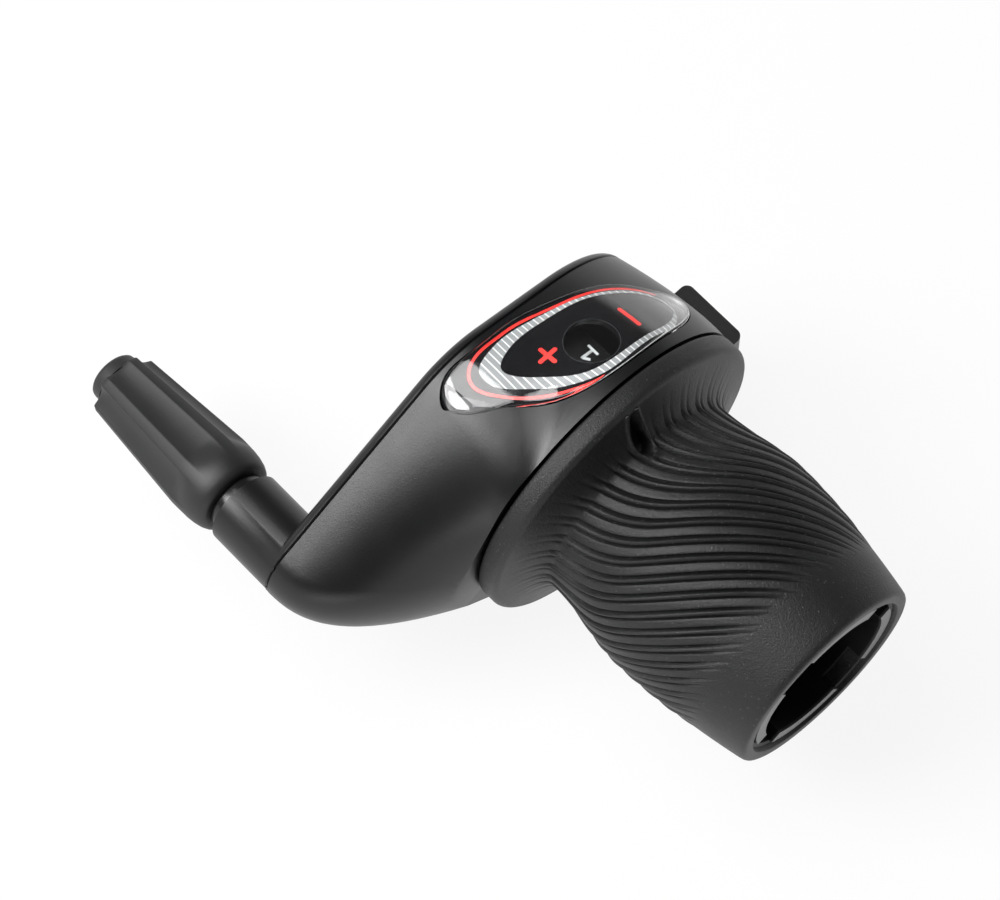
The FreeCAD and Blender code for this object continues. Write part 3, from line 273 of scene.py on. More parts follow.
# The tube's acetal is the same black with a painted light grey rim at the tube's end, a painted highlight for
# the light falling on its end faces.
tube_acetal = satin_nylon("black_acetal_painted_lit_end", "#0d0d0e", "#121213", grit_mm=0.3, roughness=0.38)
tube_shader = tube_acetal.node_tree.nodes["Principled BSDF"]
tube_tone = tube_shader.inputs["Base Color"].links[0].from_socket
tube_place = add_node(tube_acetal, "ShaderNodeTexCoord", {}, {})
tube_along = add_node(tube_acetal, "ShaderNodeSeparateXYZ", {}, {0: tube_place.outputs["Object"]})
# Painted highlight: the last half millimetre of the tube is mixed towards light grey, in place of light on
# its end faces.
tube_lit_end = add_node(tube_acetal, "ShaderNodeMapRange", {}, {
    "Value": tube_along.outputs["X"],
    "From Min": (SEAM_X + TUBE_END - LIT_END_FROM) * MM, "From Max": (SEAM_X + TUBE_END - LIT_END_FULL) * MM,
})
tube_painted_light = add_node(tube_acetal, "ShaderNodeMix", {"data_type": "RGBA"}, {
    0: tube_lit_end.outputs["Result"], 6: tube_tone, 7: linear("#6a6b6c"),
})
tube_acetal.node_tree.links.new(tube_painted_light.outputs[2], tube_shader.inputs["Base Color"])
tube = welded_copy("grip_tube", "tube_moulding", angle=32)
dress(tube, tube_acetal, "grip", "tube_plastic", "grip_tube")

# Number band: a thin black strip let into the drum, with the gear numerals printed on it in pale ink.
# Each gear brings the next numeral under the round port in the dial.
# Black film gives a flat, matt black that sets off the numerals.
band_film = satin_nylon("black_band_film", "#0c0c0d", "#101011", grit_mm=0.25, roughness=0.45)
band = welded_copy("number_band", "number_strip", angle=30)
dress(band, band_film, "grip", "band_plastic", "number_band")
INK_GRAIN = 0.3
# Pad-printed ink gives an opaque, cool white with faintly uneven cover.
# The real grain is finer than the print is thick and is drawn coarser, so that it shows.
numeral_ink, ink_shader = new_material("pale_numeral_ink")
ink_place = add_node(numeral_ink, "ShaderNodeTexCoord", {}, {})
ink_grain = add_node(numeral_ink, "ShaderNodeTexNoise", {}, {
    "Vector": ink_place.outputs["Object"], "Scale": 1 / (INK_GRAIN * MM), "Detail": 2.0,
})
ink_tone = add_node(numeral_ink, "ShaderNodeMix", {"data_type": "RGBA"}, {
    0: ink_grain.outputs["Fac"], 6: linear("#dfe5e5"), 7: linear("#f2f6f6"),
})
numeral_ink.node_tree.links.new(ink_tone.outputs[2], ink_shader.inputs["Base Color"])
ink_shader.inputs["Roughness"].default_value = 0.5
DRUM_R = 17.6
GEARS, GEAR_STEP = 3, 30.0
NUMERAL_SIZE, NUMERAL_BOLD, NUMERAL_THICK, NUMERAL_LIFT = 3.5, 0.05, 0.02, 0.12
NUMERAL_DEPTH, NUMERAL_ANGLE = 8.3, 74.2
STROKE, FOOT_HALF = 0.22, 1.0
FLAG_OFF, FLAG_HALF, FLAG_TILT = 0.5, 0.55, math.radians(36)
for gear in range(GEARS):
    bpy.ops.object.select_all(action="DESELECT")
    bpy.ops.object.text_add()
    numeral = bpy.context.object
    numeral.data.body = str(gear + 1)
    numeral.data.align_x = "CENTER"
    numeral.data.align_y = "CENTER"
    numeral.data.size = NUMERAL_SIZE
    numeral.data.offset = NUMERAL_BOLD
    bpy.ops.object.convert(target="MESH")
    numeral = bpy.context.object
    numeral.name = f"numeral_{gear + 1}"
    if gear == 0:
        # The first numeral gets a foot and a slanting flag.
        heights = [vertex.co.y for vertex in numeral.data.vertices]
        foot = (0.0, min(heights) + STROKE, FOOT_HALF, 0.0)
        flag = (-FLAG_OFF, max(heights) - FLAG_OFF, FLAG_HALF, FLAG_TILT)
        for across, rise, half, tilt in (foot, flag):
            bpy.ops.object.select_all(action="DESELECT")
            bpy.ops.mesh.primitive_plane_add(size=2, location=(across, rise, 0), rotation=(0, 0, tilt))
            serif = bpy.context.object
            serif.scale = (half, STROKE, 1)
            bpy.ops.object.transform_apply(location=True, rotation=True, scale=True)
            numeral.select_set(True)
            bpy.context.view_layer.objects.active = numeral
            bpy.ops.object.join()
    bpy.ops.object.mode_set(mode="EDIT")
    bpy.ops.mesh.select_all(action="SELECT")
    bpy.ops.mesh.extrude_region_move(TRANSFORM_OT_translate={"value": (0, 0, NUMERAL_THICK)})
    bpy.ops.object.mode_set(mode="OBJECT")
    for vertex in numeral.data.vertices:
        turn = math.radians(NUMERAL_ANGLE + GEAR_STEP * gear) + vertex.co.y / DRUM_R
        out = DRUM_R + NUMERAL_LIFT + vertex.co.z
        spot = (SEAM_X - NUMERAL_DEPTH - vertex.co.x, out * math.cos(turn), out * math.sin(turn))
        vertex.co = Vector(spot) * MM
    bpy.ops.object.mode_set(mode="EDIT")
    bpy.ops.mesh.select_all(action="SELECT")
    bpy.ops.mesh.normals_make_consistent(inside=False)
    bpy.ops.object.mode_set(mode="OBJECT")
    dress(numeral, numeral_ink, "grip", "band_plastic")

# Top cover: the outer shell of the housing, a thin nylon moulding with a seat for the window.
# Three screws from the inboard side hold it to the base.
cover = welded_copy("top_cover", "cover_moulding", angle=32)
parting_groove(cover, 1)
dress(cover, housing_nylon, "housing", "cover_plastic", "top_cover")

# Dial plate: gloss black acrylic under the lens, with a round port over the number band.
# It follows the cover's curve and is glued into the window's opening.
LEAN = math.radians(76)
LOOK_ANGLES = np.radians(np.arange(2, 179, 0.5))
PORT_DEPTH, PORT_SHIFT, PORT_R = 7.85, -0.6, 3.8
COLUMNS, SPAN_STEPS = 192, 80
TURNS = np.linspace(0, 2 * math.pi, COLUMNS + 1)
SEAM_GAP, SHEET_ANGLE = 0.0005, 35


def on_cover(depth, shift, inset):
    """Points in metres on the cover's curve, drawn in by an inset, seen square to the window."""
    height = np.full(np.shape(depth), np.inf)
    for angle in LOOK_ANGLES:
        limit = np.full(np.shape(depth), -np.inf)
        for y, z, radius in housing_rounds(depth):
            across = y * math.sin(LEAN) - z * math.cos(LEAN)
            up = y * math.cos(LEAN) + z * math.sin(LEAN)
            limit = np.maximum(limit, across * math.cos(angle) + up * math.sin(angle) + radius - inset)
        height = np.minimum(height, (limit - shift * math.cos(angle)) / math.sin(angle))
    y = shift * math.sin(LEAN) + height * math.cos(LEAN)
    z = height * math.sin(LEAN) - shift * math.cos(LEAN)
    return np.stack([SEAM_X - depth, y, z], -1) * MM


def closed_curve(points, margin):
    """Distances from the port's centre to a closed cubic spline through points, drawn in by a margin."""
    spots = np.array(points, float)
    step = np.linalg.norm(np.roll(spots, -1, 0) - spots, axis=1)
    count = len(spots)
    system = np.zeros((count, count))
    slope = (np.roll(spots, -1, 0) - spots) / step[:, None]
    for row in range(count):
        system[row, row - 1] += step[row - 1]
        system[row, row] += 2 * (step[row - 1] + step[row])
        system[row, (row + 1) % count] += step[row]
    bend = np.linalg.solve(system, 6 * (slope - np.roll(slope, 1, 0)))
    line = []
    for row in range(count):
        here, there = spots[row], spots[(row + 1) % count]
        for share in np.linspace(0, 1, SPAN_STEPS, endpoint=False):
            left, right = 1 - share, share
            sag = (left ** 3 - left) * bend[row] + (right ** 3 - right) * bend[(row + 1) % count]
            line.append(left * here + right * there + sag * step[row] ** 2 / 6)
    line = np.array(line)
    along = np.roll(line, -1, 0) - np.roll(line, 1, 0)
    along /= np.linalg.norm(along, axis=1)[:, None]
    middle = line.mean(0)
    inward = np.stack([-along[:, 1], along[:, 0]], 1)
    if np.sum(inward * (middle - line)) < 0:
        inward = -inward
    line = line + inward * margin - np.array([PORT_DEPTH, PORT_SHIFT])
    angle = np.mod(np.arctan2(line[:, 1], line[:, 0]), 2 * math.pi)
    order = np.argsort(angle)
    reach = np.hypot(line[:, 0], line[:, 1])
    return np.interp(TURNS, angle[order], reach[order], period=2 * math.pi)


def sheet(name, columns, rows, points):
    """A grid bent to the given points, with its seams joined and its faces turned outwards."""
    bpy.ops.object.select_all(action="DESELECT")
    bpy.ops.mesh.primitive_grid_add(x_subdivisions=columns, y_subdivisions=rows, size=1)
    piece = bpy.context.object
    piece.name = name
    flat = np.empty(3 * len(piece.data.vertices))
    piece.data.vertices.foreach_get("co", flat)
    flat = flat.reshape(-1, 3)
    across = np.rint((flat[:, 0] + 0.5) * columns).astype(int)
    along = np.rint((flat[:, 1] + 0.5) * rows).astype(int)
    piece.data.vertices.foreach_set("co", points[along, across].ravel())
    bpy.ops.object.mode_set(mode="EDIT")
    bpy.ops.mesh.select_all(action="SELECT")
    bpy.ops.mesh.remove_doubles(threshold=SEAM_GAP * MM)
    bpy.ops.mesh.normals_make_consistent(inside=False)
    bpy.ops.object.mode_set(mode="OBJECT")
    bpy.ops.object.shade_smooth_by_angle(angle=math.radians(SHEET_ANGLE))
    return piece


def plate(name, rows):
    """A curved plate of rings round the port; each ring is (distances from its centre, inset)."""
    points = []
    for distance, inset in rows:
        reach = distance * np.ones(COLUMNS + 1)
        depth, shift = PORT_DEPTH + reach * np.cos(TURNS), PORT_SHIFT + reach * np.sin(TURNS)
        points.append(on_cover(depth, shift, inset))
    return sheet(name, COLUMNS, len(rows) - 1, np.array(points))


def shaped(shape, outboard, inboard, front, rear):
    """Outline points (depth, shift) from shares of a width and of two lengths."""
    return [(outboard + (inboard - outboard) * a, b * (rear if b > 0 else front)) for a, b in shape]


window_points = shaped((
    (0.774, -1), (0.396, -0.727), (0.11, -0.445), (0, 0.028), (0.018, 0.503), (0.152, 0.922), (0.287, 1),
    (0.463, 0.844), (0.695, 0.575), (0.89, 0.145), (1, -0.287), (0.994, -0.67), (0.945, -0.947),
), outboard=1.7, inboard=18.1, front=20.9, rear=17.9)
dial_points = shaped((
    (0.794, -1), (0.373, -0.715), (0.095, -0.423), (0, 0.015), (0, 0.441), (0.04, 0.882), (0.143, 1),
    (0.341, 0.985), (0.595, 0.743), (0.817, 0.316), (0.921, -0.244), (0.921, -0.715),
), outboard=3.6, inboard=16.2, front=12.3, rear=13.6)
DIAL_FACE, DIAL_BACK, DIAL_ROUND = 0.94, 2.0, 0.08
PORT_WALL, PORT_EDGE, PORT_DIP = 1.5, 0.06, 0.05
DIAL_DUST = 2.5
# Gloss acrylic gives a deep, still black, clear enough to mirror the lights, with a trace of dust haze.
dial_acrylic, dial_shader = new_material("gloss_black_acrylic")
dial_place = add_node(dial_acrylic, "ShaderNodeTexCoord", {}, {})
dial_dust = add_node(dial_acrylic, "ShaderNodeTexNoise", {}, {
    "Vector": dial_place.outputs["Object"], "Scale": 1 / (DIAL_DUST * MM), "Detail": 5.0,
})
dial_gloss = add_node(dial_acrylic, "ShaderNodeMapRange", {}, {
    "Value": dial_dust.outputs["Fac"], "To Min": 0.1, "To Max": 0.14,
})
dial_acrylic.node_tree.links.new(dial_gloss.outputs["Result"], dial_shader.inputs["Roughness"])
dial_shader.inputs["Base Color"].default_value = linear("#0e0e10")
dial_shader.inputs["Specular IOR Level"].default_value = 0.2
dial_edge = closed_curve(dial_points, DIAL_ROUND)
dial_brow = closed_curve(dial_points, 0.0)
dial_rows = [(PORT_R, DIAL_BACK), (PORT_R, PORT_WALL), (PORT_R, DIAL_FACE + PORT_DIP)]
dial_rows.append((PORT_R + PORT_EDGE, DIAL_FACE))
for share in np.linspace(0.1, 1, 10):
    dial_rows.append((PORT_R + PORT_EDGE + (dial_edge - PORT_R - PORT_EDGE) * share, DIAL_FACE))
dial_rows += [(dial_brow, DIAL_FACE + DIAL_ROUND), (dial_brow, DIAL_BACK)]
dial_rows += [(PORT_R + (dial_brow - PORT_R) * 0.5, DIAL_BACK), (PORT_R, DIAL_BACK)]
dial = plate("dial_panel", dial_rows)
dress(dial, dial_acrylic, "housing", "dial_gloss", "dial_plate")

# Window print: a black film with a hatched silver band round the dial and a red line near the edge.
# It lies on the window's seat under the lens; plus, minus and a thin grey ring are printed on the dial.
FILM_TOP, FILM_BACK, FILM_GAP = 0.97, 1.02, 0.05
film_out = closed_curve(window_points, FILM_GAP)
film_in = closed_curve(dial_points, -FILM_GAP)
film_middle = film_in + (film_out - film_in) * 0.5
film = plate("window_film", [
    (film_in, FILM_BACK), (film_in, FILM_TOP), (film_middle, FILM_TOP), (film_out, FILM_TOP),
    (film_out, FILM_BACK), (film_middle, FILM_BACK), (film_in, FILM_BACK),
])
dress(film, dial_acrylic, "housing", "dial_gloss")
HATCH_MM = 0.95
# Hatched foil gives a satin silver band, cut by fine pale lines that run square to the window's length.
hatched_foil, foil_shader = new_material("hatched_silver_foil")
foil_place = add_node(hatched_foil, "ShaderNodeTexCoord", {}, {})
foil_shift = add_node(hatched_foil, "ShaderNodeVectorMath", {"operation": "DOT_PRODUCT"}, {
    0: foil_place.outputs["Object"], 1: (0.0, math.sin(LEAN), -math.cos(LEAN)),
})
foil_count = add_node(hatched_foil, "ShaderNodeMath", {"operation": "MULTIPLY"}, {
    0: foil_shift.outputs["Value"], 1: 1 / (HATCH_MM * MM),
})
foil_phase = add_node(hatched_foil, "ShaderNodeMath", {"operation": "PINGPONG"}, {
    0: foil_count.outputs["Value"], 1: 0.5,
})
foil_line = add_node(hatched_foil, "ShaderNodeMapRange", {"interpolation_type": "SMOOTHSTEP"}, {
    "Value": foil_phase.outputs["Value"], "From Min": 0.36, "From Max": 0.44,
})
foil_tone = add_node(hatched_foil, "ShaderNodeMix", {"data_type": "RGBA"}, {
    0: foil_line.outputs["Result"], 6: linear("#828586"), 7: linear("#d4d6d5"),
})
hatched_foil.node_tree.links.new(foil_tone.outputs[2], foil_shader.inputs["Base Color"])
foil_shader.inputs["Roughness"].default_value = 0.4
FOIL_TOP, FOIL_BACK, FOIL_LAP = 0.925, 0.945, 0.02
band_points = [
    (15.4, -14.6), (12.9, -15.0), (9.4, -12.3), (5.0, -7.8), (2.9, -3.6), (2.65, 1.5), (2.8, 7.0),
    (3.4, 12.2), (5.2, 13.8), (8.3, 13.6), (11.4, 10.6), (14.4, 4.4), (16.3, -3.2), (16.9, -8.8),
    (16.4, -12.4),
]
foil_out = closed_curve(band_points, 0.0)
foil_in = closed_curve(dial_points, FOIL_LAP)
foil_width = foil_out - foil_in
foil = plate("window_foil", [
    (foil_in, FOIL_TOP), (foil_in + foil_width * 0.33, FOIL_TOP), (foil_in + foil_width * 0.66, FOIL_TOP),
    (foil_out, FOIL_TOP), (foil_out, FOIL_BACK), (foil_in + foil_width * 0.5, FOIL_BACK),
    (foil_in, FOIL_BACK), (foil_in, FOIL_TOP),
])
dress(foil, hatched_foil, "housing", "dial_gloss")
RED_GRAIN = 0.4
# Screen-printed ink gives a strong, flat red with faintly uneven cover, its grain drawn coarser to show.
red_ink, red_shader = new_material("red_print_ink")
red_place = add_node(red_ink, "ShaderNodeTexCoord", {}, {})
red_grain = add_node(red_ink, "ShaderNodeTexNoise", {}, {
    "Vector": red_place.outputs["Object"], "Scale": 1 / (RED_GRAIN * MM), "Detail": 2.0,
})
red_tone = add_node(red_ink, "ShaderNodeMix", {"data_type": "RGBA"}, {
    0: red_grain.outputs["Fac"], 6: linear("#dc221b"), 7: linear("#e92f27"),
})
red_ink.node_tree.links.new(red_tone.outputs[2], red_shader.inputs["Base Color"])
red_shader.inputs["Roughness"].default_value = 0.45
line_points = [
    (16.2, -16.0), (14.2, -16.8), (11.7, -16.0), (6.1, -10.85), (2.9, -6.0), (2.0, -1.5), (2.0, 7.0),
    (4.2, 14.6), (6.4, 15.4), (8.9, 14.1), (11.8, 11.0), (14.2, 6.4), (16.3, -0.7), (17.5, -6.2),
    (17.6, -10.0), (17.1, -14.6),
]
LINE_WIDTH, LINE_INSET, LINE_TOP, LINE_BACK = 0.4, 0.18, 0.91, 0.93
LINE_START, LINE_END, LINE_STEPS = math.radians(189), math.radians(446), 180
line_turns = np.linspace(LINE_START, LINE_END, LINE_STEPS + 1)
line_rows = []
for side, inset in ((0.5, LINE_BACK), (0.5, LINE_TOP), (-0.5, LINE_TOP), (-0.5, LINE_BACK), (0.5, LINE_BACK)):
    line_reach = closed_curve(line_points, LINE_INSET + side * LINE_WIDTH)
    reach = np.interp(line_turns, TURNS, line_reach, period=2 * math.pi)
    line_depth = PORT_DEPTH + reach * np.cos(line_turns)
    line_shift = PORT_SHIFT + reach * np.sin(line_turns)
    line_rows.append(on_cover(line_depth, line_shift, inset))
red_line = sheet("red_border", LINE_STEPS, len(line_rows) - 1, np.array(line_rows))
dress(red_line, red_ink, "housing", "dial_gloss")
BAR_HALF, BAR_STEPS = 0.33, 32
INK_FOOT, INK_TOP = 0.005, 0.016


def printed_bar(name, depth, shift, length, width, along_bar):
    """A printed stroke with round ends on the dial; length and width are half sizes."""
    shares = np.linspace(-1, 1, BAR_STEPS + 1)
    past = np.clip((np.abs(shares) * length - length + width) / width, 0, 1)
    half = np.sqrt(np.clip(1 - past ** 2, 0, 1)) * width
    rows = []
    for side, lift in ((-1, INK_FOOT), (-1, INK_TOP), (1, INK_TOP), (1, INK_FOOT), (-1, INK_FOOT)):
        run, cross = shares * length, half * side
        spots = (run, cross) if along_bar else (cross, run)
        rows.append(on_cover(depth + spots[0], shift + spots[1], DIAL_FACE - lift))
    return sheet(name, BAR_STEPS, len(rows) - 1, np.array(rows))


for name, depth, shift, length, along_bar in (
    ("plus_upright", 10.55, -6.25, 1.7, True),
    ("plus_cross", 10.55, -6.25, 1.7, False),
    ("minus_bar", 7.5, 6.45, 2.15, True),
):
    stroke = printed_bar(name, depth, shift, length, BAR_HALF, along_bar)
    dress(stroke, red_ink, "housing", "dial_gloss")
RING_IN, RING_OUT, RING_LIFT, RING_HAZE = 0.02, 0.1, 0.025, 1.5
# Grey ink gives the port a hairline edge, a little lighter and duller than the dial.
ring_ink, ring_shader = new_material("grey_ring_ink")
ring_place = add_node(ring_ink, "ShaderNodeTexCoord", {}, {})
ring_haze = add_node(ring_ink, "ShaderNodeTexNoise", {}, {
    "Vector": ring_place.outputs["Object"], "Scale": 1 / (RING_HAZE * MM),
})
ring_gloss = add_node(ring_ink, "ShaderNodeMapRange", {}, {
    "Value": ring_haze.outputs["Fac"], "To Min": 0.2, "To Max": 0.4,
})
ring_ink.node_tree.links.new(ring_gloss.outputs["Result"], ring_shader.inputs["Roughness"])
ring_shader.inputs["Base Color"].default_value = linear("#2e3031")
port_ring = plate("port_ring", [
    (PORT_R + RING_IN, DIAL_FACE), (PORT_R + RING_IN, DIAL_FACE - RING_LIFT),
    (PORT_R + RING_OUT, DIAL_FACE - RING_LIFT), (PORT_R + RING_OUT, DIAL_FACE), (PORT_R + RING_IN, DIAL_FACE),
])
dress(port_ring, ring_ink, "housing", "dial_gloss")

# Window lens: clear injection-moulded polycarbonate with a rounded rim, snapped into the cover's seat.
# It stands a little proud of the cover.
LENS_HAZE = 6.0
# Clear polycarbonate shows the print beneath, mirrors the lights, and bends bright lines along its rim.
# It lets the lamps' light through to the print, which a solid of glass would keep in shade.
clear_polycarbonate, lens_shader = new_material("clear_polycarbonate")
lens_place = add_node(clear_polycarbonate, "ShaderNodeTexCoord", {}, {})
lens_haze = add_node(clear_polycarbonate, "ShaderNodeTexNoise", {}, {
    "Vector": lens_place.outputs["Object"], "Scale": 1 / (LENS_HAZE * MM), "Detail": 3.0,
})
lens_gloss = add_node(clear_polycarbonate, "ShaderNodeMapRange", {}, {
    "Value": lens_haze.outputs["Fac"], "To Min": 0.01, "To Max": 0.05,
})
clear_polycarbonate.node_tree.links.new(lens_gloss.outputs["Result"], lens_shader.inputs["Roughness"])
lens_shader.inputs["Base Color"].default_value = linear("#ffffff")
lens_shader.inputs["Transmission Weight"].default_value = 1.0
lens_shader.inputs["IOR"].default_value = 1.5
lens_rays = add_node(clear_polycarbonate, "ShaderNodeLightPath", {}, {})
lens_clear = add_node(clear_polycarbonate, "ShaderNodeBsdfTransparent", {}, {})
lens_mix = add_node(clear_polycarbonate, "ShaderNodeMixShader", {}, {
    0: lens_rays.outputs["Is Shadow Ray"], 1: lens_shader.outputs["BSDF"], 2: lens_clear.outputs["BSDF"],
})
lens_output = clear_polycarbonate.node_tree.nodes["Material Output"]
clear_polycarbonate.node_tree.links.new(lens_mix.outputs["Shader"], lens_output.inputs["Surface"])
LENS_TOP, LENS_BACK, TOP_MARGIN, BACK_MARGIN = -0.38, 0.75, 0.4, 0.12
lens_rim = (
    (0.25, -0.35), (0.12, -0.27), (0.04, -0.14), (0.0, 0.04),
    (0.0, 0.45), (0.0, 0.65), (0.04, 0.72), (BACK_MARGIN, LENS_BACK),
)
lens_face = closed_curve(window_points, TOP_MARGIN)
lens_foot = closed_curve(window_points, BACK_MARGIN)
lens_rows = [(lens_face * share, LENS_TOP) for share in np.linspace(0, 1, 16)]
lens_rows += [(closed_curve(window_points, margin), inset) for margin, inset in lens_rim]
lens_rows += [(lens_foot * share, LENS_BACK) for share in np.linspace(0.95, 0, 14)]
lens = plate("lens_moulding", lens_rows)
dress(lens, clear_polycarbonate, "housing", "clear_lens", "window_lens")

# Grip sleeve: soft black rubber moulded over the tube, with a wide flange at the housing.
# Thin ridges between pairs of fine grooves wind round the body and fade into a smooth band at the mouth.
# An oval slot with a raised lip marks the gear on the slope of the flange.
FLANGE_R, FLANGE_EDGE, FLANGE_ROUND = 24.9, 4.0, 1.2
FLANGE_FACE, FLANGE_BORE, FLANGE_BACK = 0.35, 19.1, 1.5
WAIST_R, WAIST_X, BULGE_R, BULGE_X = 17.2, 7.8, 18.9, 21.5
GRIP_LENGTH, MOUTH_R, GRIP_BORE, LIP_X = 44.7, 16.1, 13.26, 43.8
FALL_POWER, TAPER_POWER = 2.4, 1.7
RIB_COUNT, RIB_TURN, RIB_TWIST = 32, math.radians(3.0), math.radians(3.2)
RIB_START, RIB_BEND, RIB_FADE, RIB_END = 4.0, 14.0, 32.0, 37.0
RIDGE_HEIGHT, RIDGE_HALF = 0.2, 0.085
FURROW_DEPTH, FURROW_AT, FURROW_HALF = 0.42, 0.2, 0.06
SLOT_X, SLOT_ANGLE, SLOT_ACROSS, SLOT_ALONG = 6.1, math.radians(87.8), 1.1, 2.1
SLOT_DEPTH, SLOT_WALL, SLOT_LAST, NO_SLOT = 2.2, 0.22, 10, 9.0
LIP_HEIGHT, LIP_AT, LIP_HALF, LIP_LEAN = 0.45, 1.3, 0.22, 0.5
CLEAR_FROM, CLEAR_OVER = 1.1, 0.7
RIB_PLACES = np.array([-0.42, -0.34, -0.28, -0.24, -0.2, -0.16, -0.12, -0.08, -0.04, 0.0,
                       0.04, 0.08, 0.12, 0.16, 0.2, 0.24, 0.28, 0.34, 0.42, 0.5])


def grip_radius(along):
    """The smooth outside of the grip at a distance outboard of the seam."""
    fall = np.clip((along - FLANGE_EDGE) / (WAIST_X - FLANGE_EDGE), 0, 1)
    rise = np.clip((along - WAIST_X) / (BULGE_X - WAIST_X), 0, 1)
    taper = np.clip((along - BULGE_X) / (GRIP_LENGTH - BULGE_X), 0, 1)
    radius = WAIST_R + (FLANGE_R - FLANGE_ROUND - WAIST_R) * (1 - fall) ** FALL_POWER
    radius = radius + (BULGE_R - WAIST_R) * rise * rise * (3 - 2 * rise)
    return radius - (BULGE_R - MOUTH_R) * taper ** TAPER_POWER


# The sleeve's section runs from the flange's inner edge out, along the outside, and back through the bore.
grip_path = [
    (FLANGE_FACE, FLANGE_BORE), (FLANGE_FACE, 22.0), (FLANGE_FACE, 24.3), (0.45, 24.65), (0.65, 24.82),
    (0.95, FLANGE_R), (1.8, FLANGE_R),
]
for turn in np.radians(np.arange(0, 91, 15)):
    edge_x = FLANGE_EDGE - FLANGE_ROUND * (1 - math.sin(turn))
    grip_path.append((edge_x, FLANGE_R - FLANGE_ROUND * (1 - math.cos(turn))))
first_outside = len(grip_path) - 1
slope_steps, body_steps, mouth_steps = (4.1, 8.0, 0.14), (8.1, 40.0, 0.5), (40.0, 43.9, 0.6)
for along in np.concatenate([np.arange(*steps) for steps in (slope_steps, body_steps, mouth_steps)]):
    grip_path.append((along, float(grip_radius(along))))
past_outside = len(grip_path)
lip_r = float(grip_radius(np.array(LIP_X)))
grip_path += [(44.2, lip_r - 0.12), (44.5, lip_r - 0.32), (44.66, lip_r - 0.62), (GRIP_LENGTH, lip_r - 0.9)]
grip_path += [(GRIP_LENGTH, 14.35), (44.64, 14.18), (44.5, 14.1), (43.9, 13.9), (43.7, 13.4)]
grip_path += [(43.2, GRIP_BORE), (30.0, GRIP_BORE), (FLANGE_BACK, GRIP_BORE)]
grip_path += [(FLANGE_BACK, FLANGE_BORE), (FLANGE_FACE, FLANGE_BORE)]
grip_path = np.array(grip_path)
along_grip, smooth_r = grip_path[:, 0][:, None], grip_path[:, 1][:, None]
path_rows = np.arange(len(grip_path))[:, None]
outside = (path_rows >= first_outside) & (path_rows < past_outside)
phase = np.concatenate([rib + RIB_PLACES for rib in range(RIB_COUNT)])
phase = np.append(phase, phase[0] + RIB_COUNT)
rib_run = np.clip(along_grip, RIB_START, RIB_END) - RIB_START
rib_bent = np.minimum(rib_run, RIB_BEND)
twist = RIB_TURN - RIB_TWIST * (rib_bent ** 2 / (2 * RIB_BEND) + rib_run - rib_bent)
angle = 2 * math.pi * phase[None, :] / RIB_COUNT + twist
off_rib = np.mod(phase + 0.5, 1) - 0.5
furrow = FURROW_DEPTH * np.exp(-((np.abs(off_rib) - FURROW_AT) / FURROW_HALF) ** 2)
ridge = RIDGE_HEIGHT * np.exp(-(off_rib / RIDGE_HALF) ** 2) - furrow
rise = np.clip((along_grip - FLANGE_EDGE) / (WAIST_X - FLANGE_EDGE), 0, 1)
fade = np.clip((RIB_END - along_grip) / (RIB_END - RIB_FADE), 0, 1)
strength = np.where(outside, rise * fade, 0.0)
off_slot = np.mod(angle - SLOT_ANGLE + math.pi, 2 * math.pi) - math.pi
slot = np.hypot(off_slot * smooth_r / SLOT_ACROSS, (along_grip - SLOT_X) / SLOT_ALONG)
slot = np.where(outside & (along_grip < SLOT_LAST), slot, NO_SLOT)
pit = SLOT_DEPTH * np.clip((1.0 - slot) / SLOT_WALL, 0, 1)
lip = LIP_HEIGHT * np.exp(-((slot - LIP_AT) / LIP_HALF) ** 2)
near_slot = np.clip((slot - CLEAR_FROM) / CLEAR_OVER, 0, 1)
radius = smooth_r + ridge[None, :] * strength * near_slot - pit + lip
grip_points = np.stack([
    SEAM_X + along_grip + LIP_LEAN * (lip - pit) + 0 * angle,
    radius * np.cos(angle), radius * np.sin(angle),
], -1) * MM
sleeve = sheet("rubber_sleeve", len(phase) - 1, len(grip_path) - 1, grip_points)
RUBBER_GRAIN, RUBBER_RELIEF, RUBBER_BLOOM, LINT_SPACING = 0.28, 0.12, 7.0, 0.9
# Moulded rubber gives a soft black with a dull, grainy sheen, a faint bloom, and specks of lint.
# The real grain is about a tenth of a millimetre wide and is drawn coarser, so that it shows.
moulded_rubber, rubber_shader = new_material("moulded_black_rubber")
rubber_place = add_node(moulded_rubber, "ShaderNodeTexCoord", {}, {})
rubber_grain = add_node(moulded_rubber, "ShaderNodeTexNoise", {}, {
    "Vector": rubber_place.outputs["Object"], "Scale": 1 / (RUBBER_GRAIN * MM),
    "Detail": 4.0, "Roughness": 0.65,
})
rubber_bloom = add_node(moulded_rubber, "ShaderNodeTexNoise", {}, {
    "Vector": rubber_place.outputs["Object"], "Scale": 1 / (RUBBER_BLOOM * MM), "Detail": 3.0,
})
rubber_tone = add_node(moulded_rubber, "ShaderNodeMix", {"data_type": "RGBA"}, {
    0: rubber_bloom.outputs["Fac"], 6: linear("#0b0c0c"), 7: linear("#131414"),
})
rubber_lint = add_node(moulded_rubber, "ShaderNodeTexVoronoi", {}, {
    "Vector": rubber_place.outputs["Object"], "Scale": 1 / (LINT_SPACING * MM),
})
rubber_speck = add_node(moulded_rubber, "ShaderNodeMapRange", {}, {
    "Value": rubber_lint.outputs["Distance"],
    "From Min": 0.07, "From Max": 0.13, "To Min": 1.0, "To Max": 0.0,
})
rubber_dusty = add_node(moulded_rubber, "ShaderNodeMix", {"data_type": "RGBA"}, {
    0: rubber_speck.outputs["Result"], 6: rubber_tone.outputs[2], 7: linear("#4e4e4c"),
})
rubber_gloss = add_node(moulded_rubber, "ShaderNodeMapRange", {}, {
    "Value": rubber_bloom.outputs["Fac"], "To Min": 0.4, "To Max": 0.54,
})
